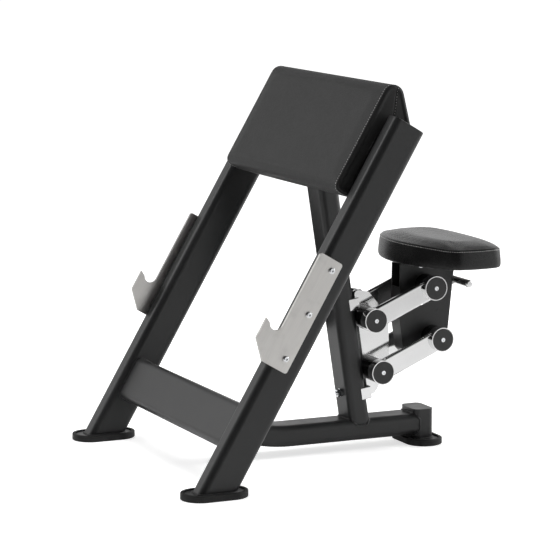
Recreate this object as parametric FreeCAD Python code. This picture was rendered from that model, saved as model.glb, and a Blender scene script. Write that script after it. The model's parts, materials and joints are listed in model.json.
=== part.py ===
import FreeCAD, Part
import math
import os

from FreeCAD import Placement, Rotation, Vector

# Preacher curl bench. X is the width, the bar hooks face -Y, the seat is on the +Y side, Z is up.
# Everything is laid out with the axes of the two slanted posts meeting the floor at Y = 0, and
# save() then moves it so that the origin lies on the floor under the middle of the whole bench.

# Frame tube, used for the posts, the base beam, the seat column and the rear column
TUBE_DEEP = 80.0
TUBE_THIN = 50.0
TUBE_CORNER = 15.0
TUBE_WALL = 3.0

# Slanted posts
POST_SPACING = 666.0
POST_SLOPE = 59.5
POST_TOP = 908.0
END_CAP_THICK = 3.0
END_CAP_ROUND = 1.6

# Feet
FOOT_LENGTH = 152.0
FOOT_WIDTH = 88.0
FOOT_HEIGHT = 15.0
FOOT_SOLE = 6.0
FOOT_RIM = 8.0
FOOT_EDGE = 2.0
PLATE_THICK = 6.0
PLATE_FIT = 0.5
FRONT_FOOT_Y = 5.5
REAR_FOOT_Y = 667.0

# Front crossbeam between the posts, measured up and across the slope of the posts
CROSS_LOW = 104.5
CROSS_HIGH = 210.5
CROSS_FRONT = -24.0
CROSS_THICK = 50.0
CROSS_CORNER = 15.0

# Base beam and the short rear column
BEAM_AXIS_Z = 46.0
BEAM_BEND_RADIUS = 350.0
REAR_COLUMN_TOP = 78.5
REAR_CAP_THICK = 3.5

# Seat column, leaning towards the posts
COLUMN_FOOT_Y = 511.7
COLUMN_LEAN = 8.6
COLUMN_BOTTOM = 44.0
COLUMN_TOP = 665.0

# Upper crossbeam behind the arm pad
UPPER_LOW = 745.0
UPPER_HIGH = 825.0
UPPER_FRONT = -10.0
UPPER_THICK = 50.0

# Arm pad, measured up and across the slope of the posts
PAD_WIDTH = 600.0
PAD_LOW = 713.0
PAD_HIGH = 980.0
PAD_FRONT = -67.0
PAD_LOWER_EDGE = 16.0
PAD_RIDGE_FRONT = 23.0
PAD_RIDGE_REAR = 23.0
PAD_RIDGE_BACK = -30.0
PAD_CHEST_LOW = 901.0
PAD_CHEST_BACK = 46.0
PAD_CHEST_EDGE = 14.0
PAD_CROWN = 3.5
PAD_EDGE_CROWN = 1.5
PAD_SIDE_DRAW = 2.5
PAD_SIDE_BAND = 10.0
PAD_BOARD_THICK = 15.0
PAD_BOARD_HEIGHT = 141.0
PAD_BOARD_MARGIN = 12.0
PAD_GAP = 0.3
PAD_BOLT_X = (-220.0, -90.0, 90.0, 220.0)
PAD_BOLT_REACH = 11.0

# Bar hooks, measured up and across the slope of the posts
HOOK_THICK = 6.0
HOOK_LOW = 307.0
HOOK_HIGH = 573.0
HOOK_BACK = 6.0
HOOK_EDGE = -54.5
HOOK_NOSE = -98.0
HOOK_NOSE_LOW = 345.0
HOOK_TIP = 394.0
HOOK_FOOT = -60.0
HOOK_SLOT_RADIUS = 16.0
HOOK_LIP_IN = -85.0
HOOK_CORNER = 6.0
HOOK_SCREW_ACROSS = -12.0
HOOK_SCREWS = (335.5, 442.5, 549.5)

# Button head screws of the hooks and bolts of the pads
SCREW_RADIUS = 4.0
SCREW_HEAD_RADIUS = 7.0
SCREW_HEAD = 4.4
SCREW_HEAD_ROUND = 2.5
SCREW_REACH = 10.0
SOCKET_FLATS = 5.0
SOCKET_DEPTH = 2.6
HOLE_CLEAR = 0.2

# Seat bracket on the column, measured along and behind the column
BRACKET_WIDTH = 44.0
CHEEK_THICK = 5.0
BACK_PLATE_THICK = 6.0
SADDLE_WIDTH = 84.0
SADDLE_HEIGHT = 28.0
SADDLE_FRONT = 9.0
SADDLE_BACK = 34.0
SADDLE_FIT = 0.15
SADDLE_EDGE = 2.0
UPPER_SADDLE_AT = 343.5
LOWER_SADDLE_AT = 131.0
UPPER_BOLT_AT = 343.5
LOWER_BOLT_AT = 136.5
CHEEK_CORNER = 8.0
CHEEK_OUTLINE = ((372.0, 34.0), (361.0, 70.0), (329.0, 90.0), (283.0, 111.0),
                 (204.0, 101.0), (132.0, 62.0), (121.0, 50.0), (121.0, 34.0))
BRACKET_BOLT_RADIUS = 5.0
BRACKET_HEAD_RADIUS = 8.0
BRACKET_HEAD = 6.0
NUT_FLATS = 17.0
NUT_HEIGHT = 8.0
WASHER_RADIUS = 10.0
WASHER_THICK = 2.0
BOLT_END = 3.0

# Parallel seat arms and their pivots
UPPER_PIVOT_AT = 302.8
PIVOT_SPACING = 123.3
PIVOT_BEHIND = 53.6
ARM_LENGTH = 167.5
ARM_ANGLE = 23.0
ARM_HEIGHT = 49.0
ARM_ROUND = 5.5
ARM_WALL = 2.5
ARM_INNER_X = 56.0
ARM_FACE_X = 69.0
ARM_OUTER_X = 80.0
BARREL_RADIUS = 28.5
SHAFT_RADIUS = 10.0
BUSH_RADIUS = 13.0
RUN_CLEAR = 0.05
OPEN_PIVOT_CLEAR = 0.5
SPACER_RADIUS = 27.0
SPACER_GAP = 0.3
CAP_RADIUS = 26.0
CAP_RECESS = 3.5
CAP_CLEAR = 0.4
CAP_GAP = 0.3
CAP_ROUND = 1.0
CAP_SCREW_HEAD_RADIUS = 5.0
CAP_SCREW_HEAD = 1.8
CAP_SCREW_DEPTH = 18.0
CAP_SOCKET_FLATS = 4.0
CAP_SOCKET_DEPTH = 1.2

# Seat carriage, a folded sheet box, laid out from the upper rear pivot
SHEET = 4.0
CARRIAGE_WIDTH = 44.0
CARRIAGE_TOP = 52.5
CARRIAGE_OUTLINE = ((-64.5, CARRIAGE_TOP), (-66.5, -72.0), (-55.5, -148.0), (-40.0, -164.0),
                    (42.0, -146.0), (59.0, -130.0), (78.0, CARRIAGE_TOP))
CARRIAGE_CORNER = 10.0
WINDOW_LOW = -2.0
BUSH_FLANGE_RADIUS = 16.0
BUSH_FLANGE = 2.0

# Seat
SEAT_WIDTH = 392.0
SEAT_DEPTH = 219.0
SEAT_CENTRE_Y = 37.0
SEAT_FRONT_BOW = 66.0
SEAT_REAR_BOW = 37.0
SEAT_SIDE_BOW = 7.0
SEAT_CORNER = 36.0
SEAT_SIDE_HEIGHT = 45.5
SEAT_CROWN = 9.0
SEAT_DRAW = 1.5
SEAT_BULGE = 1.5
SEAT_CROWN_INSET = 75.0
SEAT_BOARD_THICK = 12.0
SEAT_BOARD_MARGIN = 14.0
SEAT_GAP = 0.3
TOP_PLATE_THICK = 4.0
TOP_PLATE_WIDTH = 150.0
TOP_PLATE_FRONT = 22.5
TOP_PLATE_BACK = 78.5
SEAT_BOLT_X = 62.0
SEAT_BOLT_INSET = 18.0
SEAT_BOLT_REACH = 10.0

# Height lock: a toothed sector on the upper rear shaft and a pawl worked by the handle
SECTOR_RADIUS = 45.0
SECTOR_HUB_RADIUS = 17.0
SECTOR_THICK = 8.0
SECTOR_FROM = -38.0
SECTOR_TO = 38.0
TOOTH_PITCH = 7.5
TOOTH_GAP_DEPTH = 4.6
TOOTH_GAP_RIM = 4.0
TOOTH_GAP_ROOT = 3.6
TOOTH_TIP = 2.0
TOOTH_BASE = 2.4
TOOTH_LENGTH = 4.2
PAWL_REST_CLEAR = 0.4
PAWL_PIN = (37.5, -62.5)
PAWL_PIN_RADIUS = 5.0
PAWL_PIN_PROUD = 0.6
PAWL_BOSS_RADIUS = 9.0
PAWL_THICK = 8.0
PAWL_CLEAR = 2.0
PAWL_ARM = 14.0
HANDLE_AT = (91.5, 3.5)
HANDLE_RADIUS = 9.5
HANDLE_LENGTH = 146.0
HANDLE_ROUND = 5.0
LEAF_TOP = -78.0
LEAF_THICK = 1.0
LEAF_WIDTH = 12.0
LEAF_FOOT = 22.0
LEAF_GAP = 0.6

ACROSS = Vector(1, 0, 0)
ALONG = Vector(0, 1, 0)
UP = Vector(0, 0, 1)

SLOPE_TURN = Rotation(ACROSS, POST_SLOPE - 90)
LEAN_TURN = Rotation(ACROSS, COLUMN_LEAN)
COLUMN_FOOT = Vector(0, COLUMN_FOOT_Y, 0)

POST_X = POST_SPACING / 2
POST_INNER = POST_X - TUBE_THIN / 2
POST_OUTER = POST_X + TUBE_THIN / 2
PLATE_TOP = FOOT_SOLE + PLATE_THICK
UPPER_MIDDLE = (UPPER_LOW + UPPER_HIGH) / 2
PAD_BACK = UPPER_FRONT - PAD_BOARD_THICK
PAD_BOARD_TOP = PAD_LOW + PAD_BOARD_MARGIN + PAD_BOARD_HEIGHT
LOWER_PIVOT_AT = UPPER_PIVOT_AT - PIVOT_SPACING
CHEEK_X = BRACKET_WIDTH / 2
CARRIAGE_X = CARRIAGE_WIDTH / 2
CAP_INNER_X = ARM_OUTER_X - CAP_RECESS
SHAFT_END_X = CAP_INNER_X + CAP_GAP


def column_point(along, behind):
    """A point in the middle plane, given along the column and behind its axis."""
    return COLUMN_FOOT + LEAN_TURN.multVec(Vector(0, behind, along))


def slope_point(up, back):
    """A point in the middle plane, given up the posts' slope and across it."""
    return SLOPE_TURN.multVec(Vector(0, back, up))


ARM_VECTOR = Vector(0, math.cos(math.radians(ARM_ANGLE)), math.sin(math.radians(ARM_ANGLE))) * ARM_LENGTH
UPPER_FRONT_PIVOT = column_point(UPPER_PIVOT_AT, PIVOT_BEHIND)
LOWER_FRONT_PIVOT = column_point(LOWER_PIVOT_AT, PIVOT_BEHIND)
UPPER_REAR_PIVOT = UPPER_FRONT_PIVOT + ARM_VECTOR
LOWER_REAR_PIVOT = LOWER_FRONT_PIVOT + ARM_VECTOR
SEAT_BOTTOM = UPPER_REAR_PIVOT.z + CARRIAGE_TOP + TOP_PLATE_THICK
SEAT_Y = UPPER_REAR_PIVOT.y + SEAT_CENTRE_Y

FRONT_END = FRONT_FOOT_Y - FOOT_LENGTH / 2
REAR_END = SEAT_Y + SEAT_DEPTH / 2 + SEAT_BULGE
TO_MIDDLE = Vector(0, -(FRONT_END + REAR_END) / 2, 0)


def save(name, shape):
    """Move a piece to the bench's own origin and write it to its file."""
    placed = shape.copy()
    placed.translate(TO_MIDDLE)
    placed.exportStep(os.path.join("parts", name + ".step"))


def group(shapes):
    """Separate solids that share one node."""
    return Part.makeCompound(shapes)


def on_slope(shape):
    """Place a piece drawn in (across, back, up the posts) axes."""
    placed = shape.copy()
    placed.Placement = Placement(Vector(), SLOPE_TURN).multiply(placed.Placement)
    return placed


def on_column(shape):
    """Place a piece drawn in (across, behind, along the column) axes."""
    placed = shape.copy()
    placed.Placement = Placement(COLUMN_FOOT, LEAN_TURN).multiply(placed.Placement)
    return placed


def mirrored(shape):
    """The same piece on the other side of the middle plane."""
    return shape.mirror(Vector(), ACROSS)


def edges_along(shape, direction):
    """Straight edges of a shape that run along a direction."""
    found = []
    for edge in shape.Edges:
        if not isinstance(edge.Curve, Part.Line):
            continue
        if edge.tangentAt(edge.FirstParameter).cross(direction).Length < 1e-6:
            found.append(edge)
    return found


def box_between(low, high):
    """A box between two opposite corners."""
    size = high - low
    return Part.makeBox(size.x, size.y, size.z, low)


def rounded_bar(low, high, direction, corner):
    """A solid bar between two corners with its long edges rounded."""
    bar = box_between(low, high)
    return bar.makeFillet(corner, edges_along(bar, direction))


def rounded_tube(low, high, direction, corner, wall):
    """A hollow bar, open at both ends."""
    side = Vector(wall, wall, wall) - direction * wall
    inner = rounded_bar(low + side - direction, high - side + direction, direction, corner - wall)
    return rounded_bar(low, high, direction, corner).cut(inner)


def disc(radius, x0, x1, centre):
    """A round piece along X between two stations."""
    return Part.makeCylinder(radius, x1 - x0, Vector(x0, centre.y, centre.z), ACROSS)


def ring(outer, inner, x0, x1, centre):
    """A round sleeve along X."""
    return disc(outer, x0, x1, centre).cut(disc(inner, x0 - 1, x1 + 1, centre))


def hexagon(flats, height, base, direction):
    """A hexagonal prism that stands on a base point."""
    corner = flats / math.sqrt(3)
    points = []
    for k in range(7):
        angle = math.radians(60 * k)
        points.append(Vector(corner * math.cos(angle), corner * math.sin(angle), 0))
    prism = Part.Face(Part.makePolygon(points)).extrude(Vector(0, 0, height))
    prism.Placement = Placement(base, Rotation(UP, direction))
    return prism


def plate_from(points, x0, x1):
    """A flat plate between two X stations, from (Y, Z) outline points."""
    outline = [Vector(x0, y, z) for y, z in points]
    outline.append(outline[0])
    return Part.Face(Part.makePolygon(outline)).extrude(Vector(x1 - x0, 0, 0))


def obround(length, width, low, high, turned):
    """An upright piece with round ends, its length along Y, or along X when turned."""
    straight = (length - width) / 2
    body = Part.makeBox(width, 2 * straight, high - low, Vector(-width / 2, -straight, low))
    for end in (-straight, straight):
        body = body.fuse(Part.makeCylinder(width / 2, high - low, Vector(0, end, low)))
    body = body.removeSplitter()
    if turned:
        body.rotate(Vector(), UP, 90)
    return body


def button_screw(seat, direction, reach):
    """A button head screw whose head sits at a seat point, its shank going against a direction."""
    head = Part.makeCylinder(SCREW_HEAD_RADIUS, SCREW_HEAD, Vector(), UP)
    rim = [edge for edge in head.Edges if edge.Closed and edge.BoundBox.ZMin > SCREW_HEAD / 2]
    head = head.makeFillet(SCREW_HEAD_ROUND, rim)
    head = head.cut(hexagon(SOCKET_FLATS, SOCKET_DEPTH + 1, Vector(0, 0, SCREW_HEAD - SOCKET_DEPTH), UP))
    screw = head.fuse(Part.makeCylinder(SCREW_RADIUS, reach, Vector(0, 0, -reach), UP)).removeSplitter()
    screw.Placement = Placement(seat, Rotation(UP, direction))
    return screw


def post_hole(up):
    """The hole for a hook screw through the outer wall of a post, in slope axes."""
    centre = Vector(0, HOOK_SCREW_ACROSS, up)
    return disc(SCREW_RADIUS + HOLE_CLEAR, POST_OUTER - 2 * TUBE_WALL, POST_OUTER + 1, centre)


def post():
    """The slanted tube on the +X side, cut level at the foot plate."""
    low = Vector(POST_INNER, -TUBE_DEEP / 2, 0)
    high = Vector(POST_OUTER, TUBE_DEEP / 2, POST_TOP)
    below = -TUBE_DEEP
    tube = rounded_tube(low + UP * below, high, UP, TUBE_CORNER, TUBE_WALL)
    for up in HOOK_SCREWS:
        tube = tube.cut(post_hole(up))
    far = 4 * TUBE_DEEP
    floor = box_between(Vector(0, -far, -far), Vector(POST_SPACING, far, PLATE_TOP))
    return on_slope(tube).cut(floor)


def post_cap():
    """The thin plate that closes the top of the +X post."""
    low = Vector(POST_INNER, -TUBE_DEEP / 2, POST_TOP)
    high = Vector(POST_OUTER, TUBE_DEEP / 2, POST_TOP + END_CAP_THICK)
    cap = rounded_bar(low, high, UP, TUBE_CORNER)
    rim = [edge for edge in cap.Edges if edge.BoundBox.ZMin > POST_TOP + END_CAP_THICK / 2]
    return on_slope(cap.makeFillet(END_CAP_ROUND, rim))


def front_crossbeam():
    """The deep tube between the posts near the floor, its face parallel with them."""
    low = Vector(-POST_INNER, CROSS_FRONT, CROSS_LOW)
    high = Vector(POST_INNER, CROSS_FRONT + CROSS_THICK, CROSS_HIGH)
    return on_slope(rounded_tube(low, high, ACROSS, CROSS_CORNER, TUBE_WALL))


def upper_crossbeam_outline():
    """The full outline of the upper crossbeam, in slope axes."""
    low = Vector(-POST_INNER, UPPER_FRONT, UPPER_LOW)
    high = Vector(POST_INNER, UPPER_FRONT + UPPER_THICK, UPPER_HIGH)
    return low, high


def upper_crossbeam():
    """The tube behind the arm pad that ties the posts to the seat column."""
    low, high = upper_crossbeam_outline()
    tube = rounded_tube(low, high, ACROSS, TUBE_CORNER, TUBE_WALL)
    for x in PAD_BOLT_X:
        start = Vector(x, low.y - 1, UPPER_MIDDLE)
        tube = tube.cut(Part.makeCylinder(SCREW_RADIUS + HOLE_CLEAR, UPPER_THICK + 2, start, ALONG))
    return on_slope(tube)


def rear_column_outline():
    """The short rear column as a full block."""
    low = Vector(-TUBE_DEEP / 2, REAR_FOOT_Y - TUBE_THIN / 2, PLATE_TOP)
    high = Vector(TUBE_DEEP / 2, REAR_FOOT_Y + TUBE_THIN / 2, REAR_COLUMN_TOP)
    return low, high


def rear_column():
    """The short upright tube over the rear foot."""
    low, high = rear_column_outline()
    return rounded_tube(low, high, UP, TUBE_CORNER, TUBE_WALL)


def rear_column_cap():
    """The welded plate on top of the rear column."""
    low, high = rear_column_outline()
    return rounded_bar(Vector(low.x, low.y, high.z), high + UP * REAR_CAP_THICK, UP, TUBE_CORNER)


def beam_section(y, hollow):
    """The upright cross-section of the base beam at a station along Y."""
    low = Vector(-TUBE_DEEP / 2, y, BEAM_AXIS_Z - TUBE_THIN / 2)
    high = Vector(TUBE_DEEP / 2, y + 1, BEAM_AXIS_Z + TUBE_THIN / 2)
    if hollow:
        bar = rounded_tube(low, high, ALONG, TUBE_CORNER, TUBE_WALL)
    else:
        bar = rounded_bar(low, high, ALONG, TUBE_CORNER)
    return [face for face in bar.Faces if face.BoundBox.YMax < y + 0.5][0]


def beam_shape(hollow):
    """The base beam from the rear column, bent up to meet the crossbeam's back square on."""
    bend = 90 - POST_SLOPE
    meet = slope_point((CROSS_LOW + CROSS_HIGH) / 2, CROSS_FRONT + CROSS_THICK)
    rise = (meet.z - BEAM_AXIS_Z) / math.sin(math.radians(bend))
    corner_y = meet.y + rise * math.cos(math.radians(bend))
    setback = BEAM_BEND_RADIUS * math.tan(math.radians(bend / 2))
    section = beam_section(corner_y + setback, hollow)
    straight = section.extrude(ALONG * (REAR_FOOT_Y - corner_y - setback))
    centre = Vector(0, corner_y + setback, BEAM_AXIS_Z + BEAM_BEND_RADIUS)
    curved = section.revolve(centre, ACROSS, -bend)
    end = section.copy()
    end.rotate(centre, ACROSS, -bend)
    riser = end.extrude(slope_point(0, -(rise - setback)))
    return straight.fuse([curved, riser]).removeSplitter()


def base_beam():
    """The bent tube along the floor, shaped round the front of the rear column."""
    low, high = rear_column_outline()
    return beam_shape(True).cut(rounded_bar(low, high, UP, TUBE_CORNER))


def column_section(grow):
    """Corners of the seat column in column axes, grown by a clearance."""
    low = Vector(-TUBE_DEEP / 2 - grow, -TUBE_THIN / 2 - grow, COLUMN_BOTTOM)
    high = Vector(TUBE_DEEP / 2 + grow, TUBE_THIN / 2 + grow, COLUMN_TOP)
    return low, high


def seat_column():
    """The leaning tube, shaped over the base beam and under the upper crossbeam."""
    low, high = column_section(0)
    tube = rounded_tube(low, high, UP, TUBE_CORNER, TUBE_WALL)
    for along in (LOWER_BOLT_AT, UPPER_BOLT_AT):
        start = Vector(0, -TUBE_THIN, along)
        tube = tube.cut(Part.makeCylinder(BRACKET_BOLT_RADIUS + HOLE_CLEAR, 2 * TUBE_THIN, start, ALONG))
    low, high = upper_crossbeam_outline()
    crossbeam = on_slope(rounded_bar(low, high, ACROSS, TUBE_CORNER))
    whole = on_column(tube).cut(beam_shape(False)).cut(crossbeam)
    return max(whole.Solids, key=lambda solid: solid.Volume)


def rubber_foot(turned):
    """A rubber foot with a raised rim round its recess."""
    body = obround(FOOT_LENGTH, FOOT_WIDTH, 0, FOOT_HEIGHT, turned)
    rims = [edge for edge in body.Edges if edge.BoundBox.ZLength < 1e-6]
    body = body.makeFillet(FOOT_EDGE, rims)
    inside = FOOT_LENGTH - 2 * FOOT_RIM
    hollow = obround(inside, FOOT_WIDTH - 2 * FOOT_RIM, FOOT_SOLE, FOOT_HEIGHT + 1, turned)
    return body.cut(hollow)


def foot_plate(turned):
    """The steel plate in a foot's recess that a tube is welded to."""
    shrink = 2 * (FOOT_RIM + PLATE_FIT)
    return obround(FOOT_LENGTH - shrink, FOOT_WIDTH - shrink, FOOT_SOLE, PLATE_TOP, turned)


def moved(shape, x, y):
    """A copy of a piece at a place on the floor."""
    copy = shape.copy()
    copy.translate(Vector(x, y, 0))
    return copy


def pad_profile(x, draw, crown):
    """The arm pad's outline at one X station, in slope axes, drawn in and crowned."""
    low = PAD_LOW + draw
    front = PAD_FRONT + draw
    high = PAD_HIGH - draw
    chest_back = PAD_CHEST_BACK - draw
    corners = [Vector(x, PAD_BACK - PAD_GAP, low), Vector(x, front, low), Vector(x, front, high),
               Vector(x, PAD_RIDGE_BACK - draw / 2, high), Vector(x, chest_back, PAD_CHEST_LOW),
               Vector(x, PAD_BACK - PAD_GAP, PAD_BOARD_TOP + PAD_GAP)]
    middle = Vector(x, front - crown, (low + high) / 2)
    edges = [Part.makeLine(corners[0], corners[1]), Part.Arc(corners[1], middle, corners[2]).toShape()]
    for k in range(2, 6):
        edges.append(Part.makeLine(corners[k], corners[(k + 1) % 6]))
    prism = Part.Face(Part.Wire(edges)).extrude(ACROSS)
    radii = ((1, PAD_LOWER_EDGE), (2, PAD_RIDGE_FRONT), (3, PAD_RIDGE_REAR), (4, PAD_CHEST_EDGE))
    for index, radius in radii:
        prism = prism.makeFillet(radius, edges_at(prism, corners[index]))
    return [face for face in prism.Faces if face.BoundBox.XMax < x + 0.5][0].OuterWire


def edges_at(shape, corner):
    """Edges along X that start at a corner point."""
    found = []
    for edge in edges_along(shape, ACROSS):
        if (edge.CenterOfMass - corner).cross(ACROSS).Length < 0.01:
            found.append(edge)
    return found


def arm_pad():
    """The cushion: a slanted arm face, a rounded ridge and a steep chest face behind it."""
    half = PAD_WIDTH / 2
    inner = half - PAD_SIDE_BAND
    middle = []
    for share in (-1, -0.5, 0, 0.5, 1):
        crown = PAD_CROWN - (PAD_CROWN - PAD_EDGE_CROWN) * share ** 2
        middle.append(pad_profile(inner * share, 0, crown))
    side = []
    for share in (0, 0.7, 1):
        draw = PAD_SIDE_DRAW * share ** 3
        side.append(pad_profile(inner + PAD_SIDE_BAND * share, draw, PAD_EDGE_CROWN))
    band = Part.makeLoft(side, True, True)
    cushion = Part.makeLoft(middle, True, False).fuse([band, mirrored(band)])
    return on_slope(cushion.removeSplitter())


def pad_board():
    """The plywood board between the arm pad and the upper crossbeam."""
    half = PAD_WIDTH / 2 - PAD_BOARD_MARGIN
    low = Vector(-half, PAD_BACK, PAD_LOW + PAD_BOARD_MARGIN)
    board = box_between(low, Vector(half, UPPER_FRONT, PAD_BOARD_TOP))
    for x in PAD_BOLT_X:
        start = Vector(x, UPPER_FRONT - PAD_BOLT_REACH - 1, UPPER_MIDDLE)
        board = board.cut(Part.makeCylinder(SCREW_RADIUS + HOLE_CLEAR, PAD_BOARD_THICK, start, ALONG))
    return on_slope(board)


def pad_bolts():
    """The bolts from behind the upper crossbeam into the pad board."""
    bolts = []
    for x in PAD_BOLT_X:
        seat = Vector(x, UPPER_FRONT + UPPER_THICK, UPPER_MIDDLE)
        bolts.append(on_slope(button_screw(seat, ALONG, UPPER_THICK + PAD_BOLT_REACH)))
    return group(bolts)


def hook_outline(x):
    """The bar hook's outline at one X station, in slope axes."""
    slot_centre = Vector(x, HOOK_EDGE - HOOK_SLOT_RADIUS, HOOK_TIP)
    slot_bottom = slot_centre - UP * HOOK_SLOT_RADIUS
    reach = HOOK_LIP_IN - slot_centre.y
    slot_left = slot_centre + Vector(0, reach, -math.sqrt(HOOK_SLOT_RADIUS ** 2 - reach ** 2))
    slot_right = slot_centre + Vector(0, HOOK_SLOT_RADIUS, 0)
    tip = Vector(x, HOOK_NOSE, HOOK_TIP)
    points = [slot_right, Vector(x, HOOK_EDGE, HOOK_HIGH), Vector(x, HOOK_BACK, HOOK_HIGH),
              Vector(x, HOOK_BACK, HOOK_LOW), Vector(x, HOOK_FOOT, HOOK_LOW),
              Vector(x, HOOK_NOSE, HOOK_NOSE_LOW), tip, slot_left]
    edges = [Part.makeLine(a, b) for a, b in zip(points, points[1:])]
    edges.append(Part.Arc(slot_left, slot_bottom, slot_right).toShape())
    return Part.Face(Part.Wire(edges)), points[1:6]


def bar_hook():
    """The J-shaped plate on the outer face of the +X post that holds the bar."""
    face, corners = hook_outline(POST_OUTER)
    plate = face.extrude(ACROSS * HOOK_THICK)
    for corner in corners:
        plate = plate.makeFillet(HOOK_CORNER, edges_at(plate, corner))
    for up in HOOK_SCREWS:
        centre = Vector(0, HOOK_SCREW_ACROSS, up)
        hole = disc(SCREW_RADIUS + HOLE_CLEAR, POST_OUTER - 1, POST_OUTER + HOOK_THICK + 1, centre)
        plate = plate.cut(hole)
    return on_slope(plate)


def hook_screws():
    """The button head screws of both hooks."""
    screws = []
    for up in HOOK_SCREWS:
        seat = Vector(POST_OUTER + HOOK_THICK, HOOK_SCREW_ACROSS, up)
        screw = on_slope(button_screw(seat, ACROSS, SCREW_REACH))
        screws.extend([screw, mirrored(screw)])
    return group(screws)


def saddle(along, bolt):
    """A block that hugs the back of the seat column, drilled for its bolt."""
    half = SADDLE_HEIGHT / 2
    low = Vector(-SADDLE_WIDTH / 2, SADDLE_FRONT, along - half)
    block = rounded_bar(low, Vector(SADDLE_WIDTH / 2, SADDLE_BACK, along + half), ALONG, SADDLE_EDGE)
    low, high = column_section(SADDLE_FIT)
    block = block.cut(rounded_bar(low, high, UP, TUBE_CORNER + SADDLE_FIT))
    hole = Part.makeCylinder(BRACKET_BOLT_RADIUS + HOLE_CLEAR, TUBE_DEEP, Vector(0, 0, bolt), ALONG)
    return on_column(block.cut(hole))


def bracket_back_plate():
    """The plate between the cheeks that the bracket is bolted on by."""
    inside = CHEEK_X - CHEEK_THICK
    low = Vector(-inside, SADDLE_BACK, CHEEK_OUTLINE[-1][0])
    plate = box_between(low, Vector(inside, SADDLE_BACK + BACK_PLATE_THICK, CHEEK_OUTLINE[0][0]))
    for along in (LOWER_BOLT_AT, UPPER_BOLT_AT):
        start = Vector(0, SADDLE_BACK - 1, along)
        plate = plate.cut(Part.makeCylinder(BRACKET_BOLT_RADIUS + HOLE_CLEAR, TUBE_DEEP, start, ALONG))
    return on_column(plate)


def bracket_cheek():
    """The polished side plate of the bracket on the +X side."""
    points = [(behind, along) for along, behind in CHEEK_OUTLINE]
    plate = plate_from(points, CHEEK_X - CHEEK_THICK, CHEEK_X)
    for behind, along in points[:-1]:
        plate = plate.makeFillet(CHEEK_CORNER, edges_at(plate, Vector(CHEEK_X, behind, along)))
    for along in (UPPER_PIVOT_AT, LOWER_PIVOT_AT):
        plate = plate.cut(disc(SHAFT_RADIUS + RUN_CLEAR, 0, BRACKET_WIDTH, Vector(0, PIVOT_BEHIND, along)))
    return on_column(plate)


def bracket_bolt(along):
    """A bolt from inside the bracket through the saddle and the column."""
    head = Part.makeCylinder(BRACKET_HEAD_RADIUS, BRACKET_HEAD, Vector(), UP)
    head = head.cut(hexagon(NUT_FLATS / 2, BRACKET_HEAD, Vector(0, 0, BRACKET_HEAD / 2), UP))
    reach = SADDLE_BACK + BACK_PLATE_THICK + TUBE_THIN / 2 + WASHER_THICK + NUT_HEIGHT + BOLT_END
    shank = Part.makeCylinder(BRACKET_BOLT_RADIUS, reach, Vector(0, 0, -reach), UP)
    bolt = head.fuse(shank).removeSplitter()
    bolt.Placement = Placement(Vector(0, SADDLE_BACK + BACK_PLATE_THICK, along), Rotation(UP, ALONG))
    return on_column(bolt)


def bracket_washer(along):
    """The washer under a bracket nut, on the front of the column."""
    front = Vector(0, -TUBE_THIN / 2 - WASHER_THICK, along)
    washer = Part.makeCylinder(WASHER_RADIUS, WASHER_THICK, front, ALONG)
    hole = Part.makeCylinder(BRACKET_BOLT_RADIUS + HOLE_CLEAR, 2 * WASHER_THICK, front - ALONG, ALONG)
    return on_column(washer.cut(hole))


def bracket_nut(along):
    """The nut on a bracket bolt."""
    base = Vector(0, -TUBE_THIN / 2 - WASHER_THICK, along)
    nut = hexagon(NUT_FLATS, NUT_HEIGHT, base, ALONG * -1)
    hole = Part.makeCylinder(BRACKET_BOLT_RADIUS + RUN_CLEAR, 2 * NUT_HEIGHT, base + ALONG, ALONG * -1)
    return on_column(nut.cut(hole))


def pivot_shaft(pivot):
    """A pivot shaft right across the bench's middle, tapped at both ends."""
    shaft = disc(SHAFT_RADIUS, -SHAFT_END_X, SHAFT_END_X, pivot)
    tapped = disc(SCREW_RADIUS + HOLE_CLEAR, SHAFT_END_X - CAP_SCREW_DEPTH - 1, SHAFT_END_X + 1, pivot)
    return shaft.cut(tapped).cut(mirrored(tapped))


def both_sides(shape):
    """A piece and its mirror image."""
    return [shape, mirrored(shape)]


def spacer(pivot, x0, x1):
    """The black sleeve between a side plate and an arm, on the +X side."""
    return ring(SPACER_RADIUS, SHAFT_RADIUS + RUN_CLEAR, x0, x1, pivot)


def pivot_cap(pivot):
    """The black disc in the outer end of an arm's barrel, on the +X side."""
    cap = ring(CAP_RADIUS, SCREW_RADIUS + HOLE_CLEAR, SHAFT_END_X, ARM_OUTER_X, pivot)
    outer = [edge for edge in cap.Edges if edge.BoundBox.XMin > ARM_OUTER_X - 0.01]
    return cap.makeFillet(CAP_ROUND, [edge for edge in outer if edge.Length > 2 * CAP_RADIUS])


def cap_screw(pivot):
    """The screw that holds a cap to the end of its shaft, on the +X side."""
    head = disc(CAP_SCREW_HEAD_RADIUS, ARM_OUTER_X, ARM_OUTER_X + CAP_SCREW_HEAD, pivot)
    socket_base = Vector(ARM_OUTER_X + CAP_SCREW_HEAD - CAP_SOCKET_DEPTH, pivot.y, pivot.z)
    head = head.cut(hexagon(CAP_SOCKET_FLATS, CAP_SOCKET_DEPTH + 1, socket_base, ACROSS))
    shank = disc(SCREW_RADIUS, SHAFT_END_X - CAP_SCREW_DEPTH, ARM_OUTER_X, pivot)
    return head.fuse(shank).removeSplitter()


def on_pivots(maker, pivots):
    """One maker's pieces on both sides of several pivots."""
    pieces = []
    for pivot in pivots:
        pieces.extend(both_sides(maker(pivot)))
    return group(pieces)


def arm_blank(height, x0, x1, rounding):
    """A flat oval bar from pivot to pivot, drawn level along Y."""
    low = Vector(x0, 0, -height / 2)
    return rounded_bar(low, Vector(x1, ARM_LENGTH, height / 2), ALONG, rounding)


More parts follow.
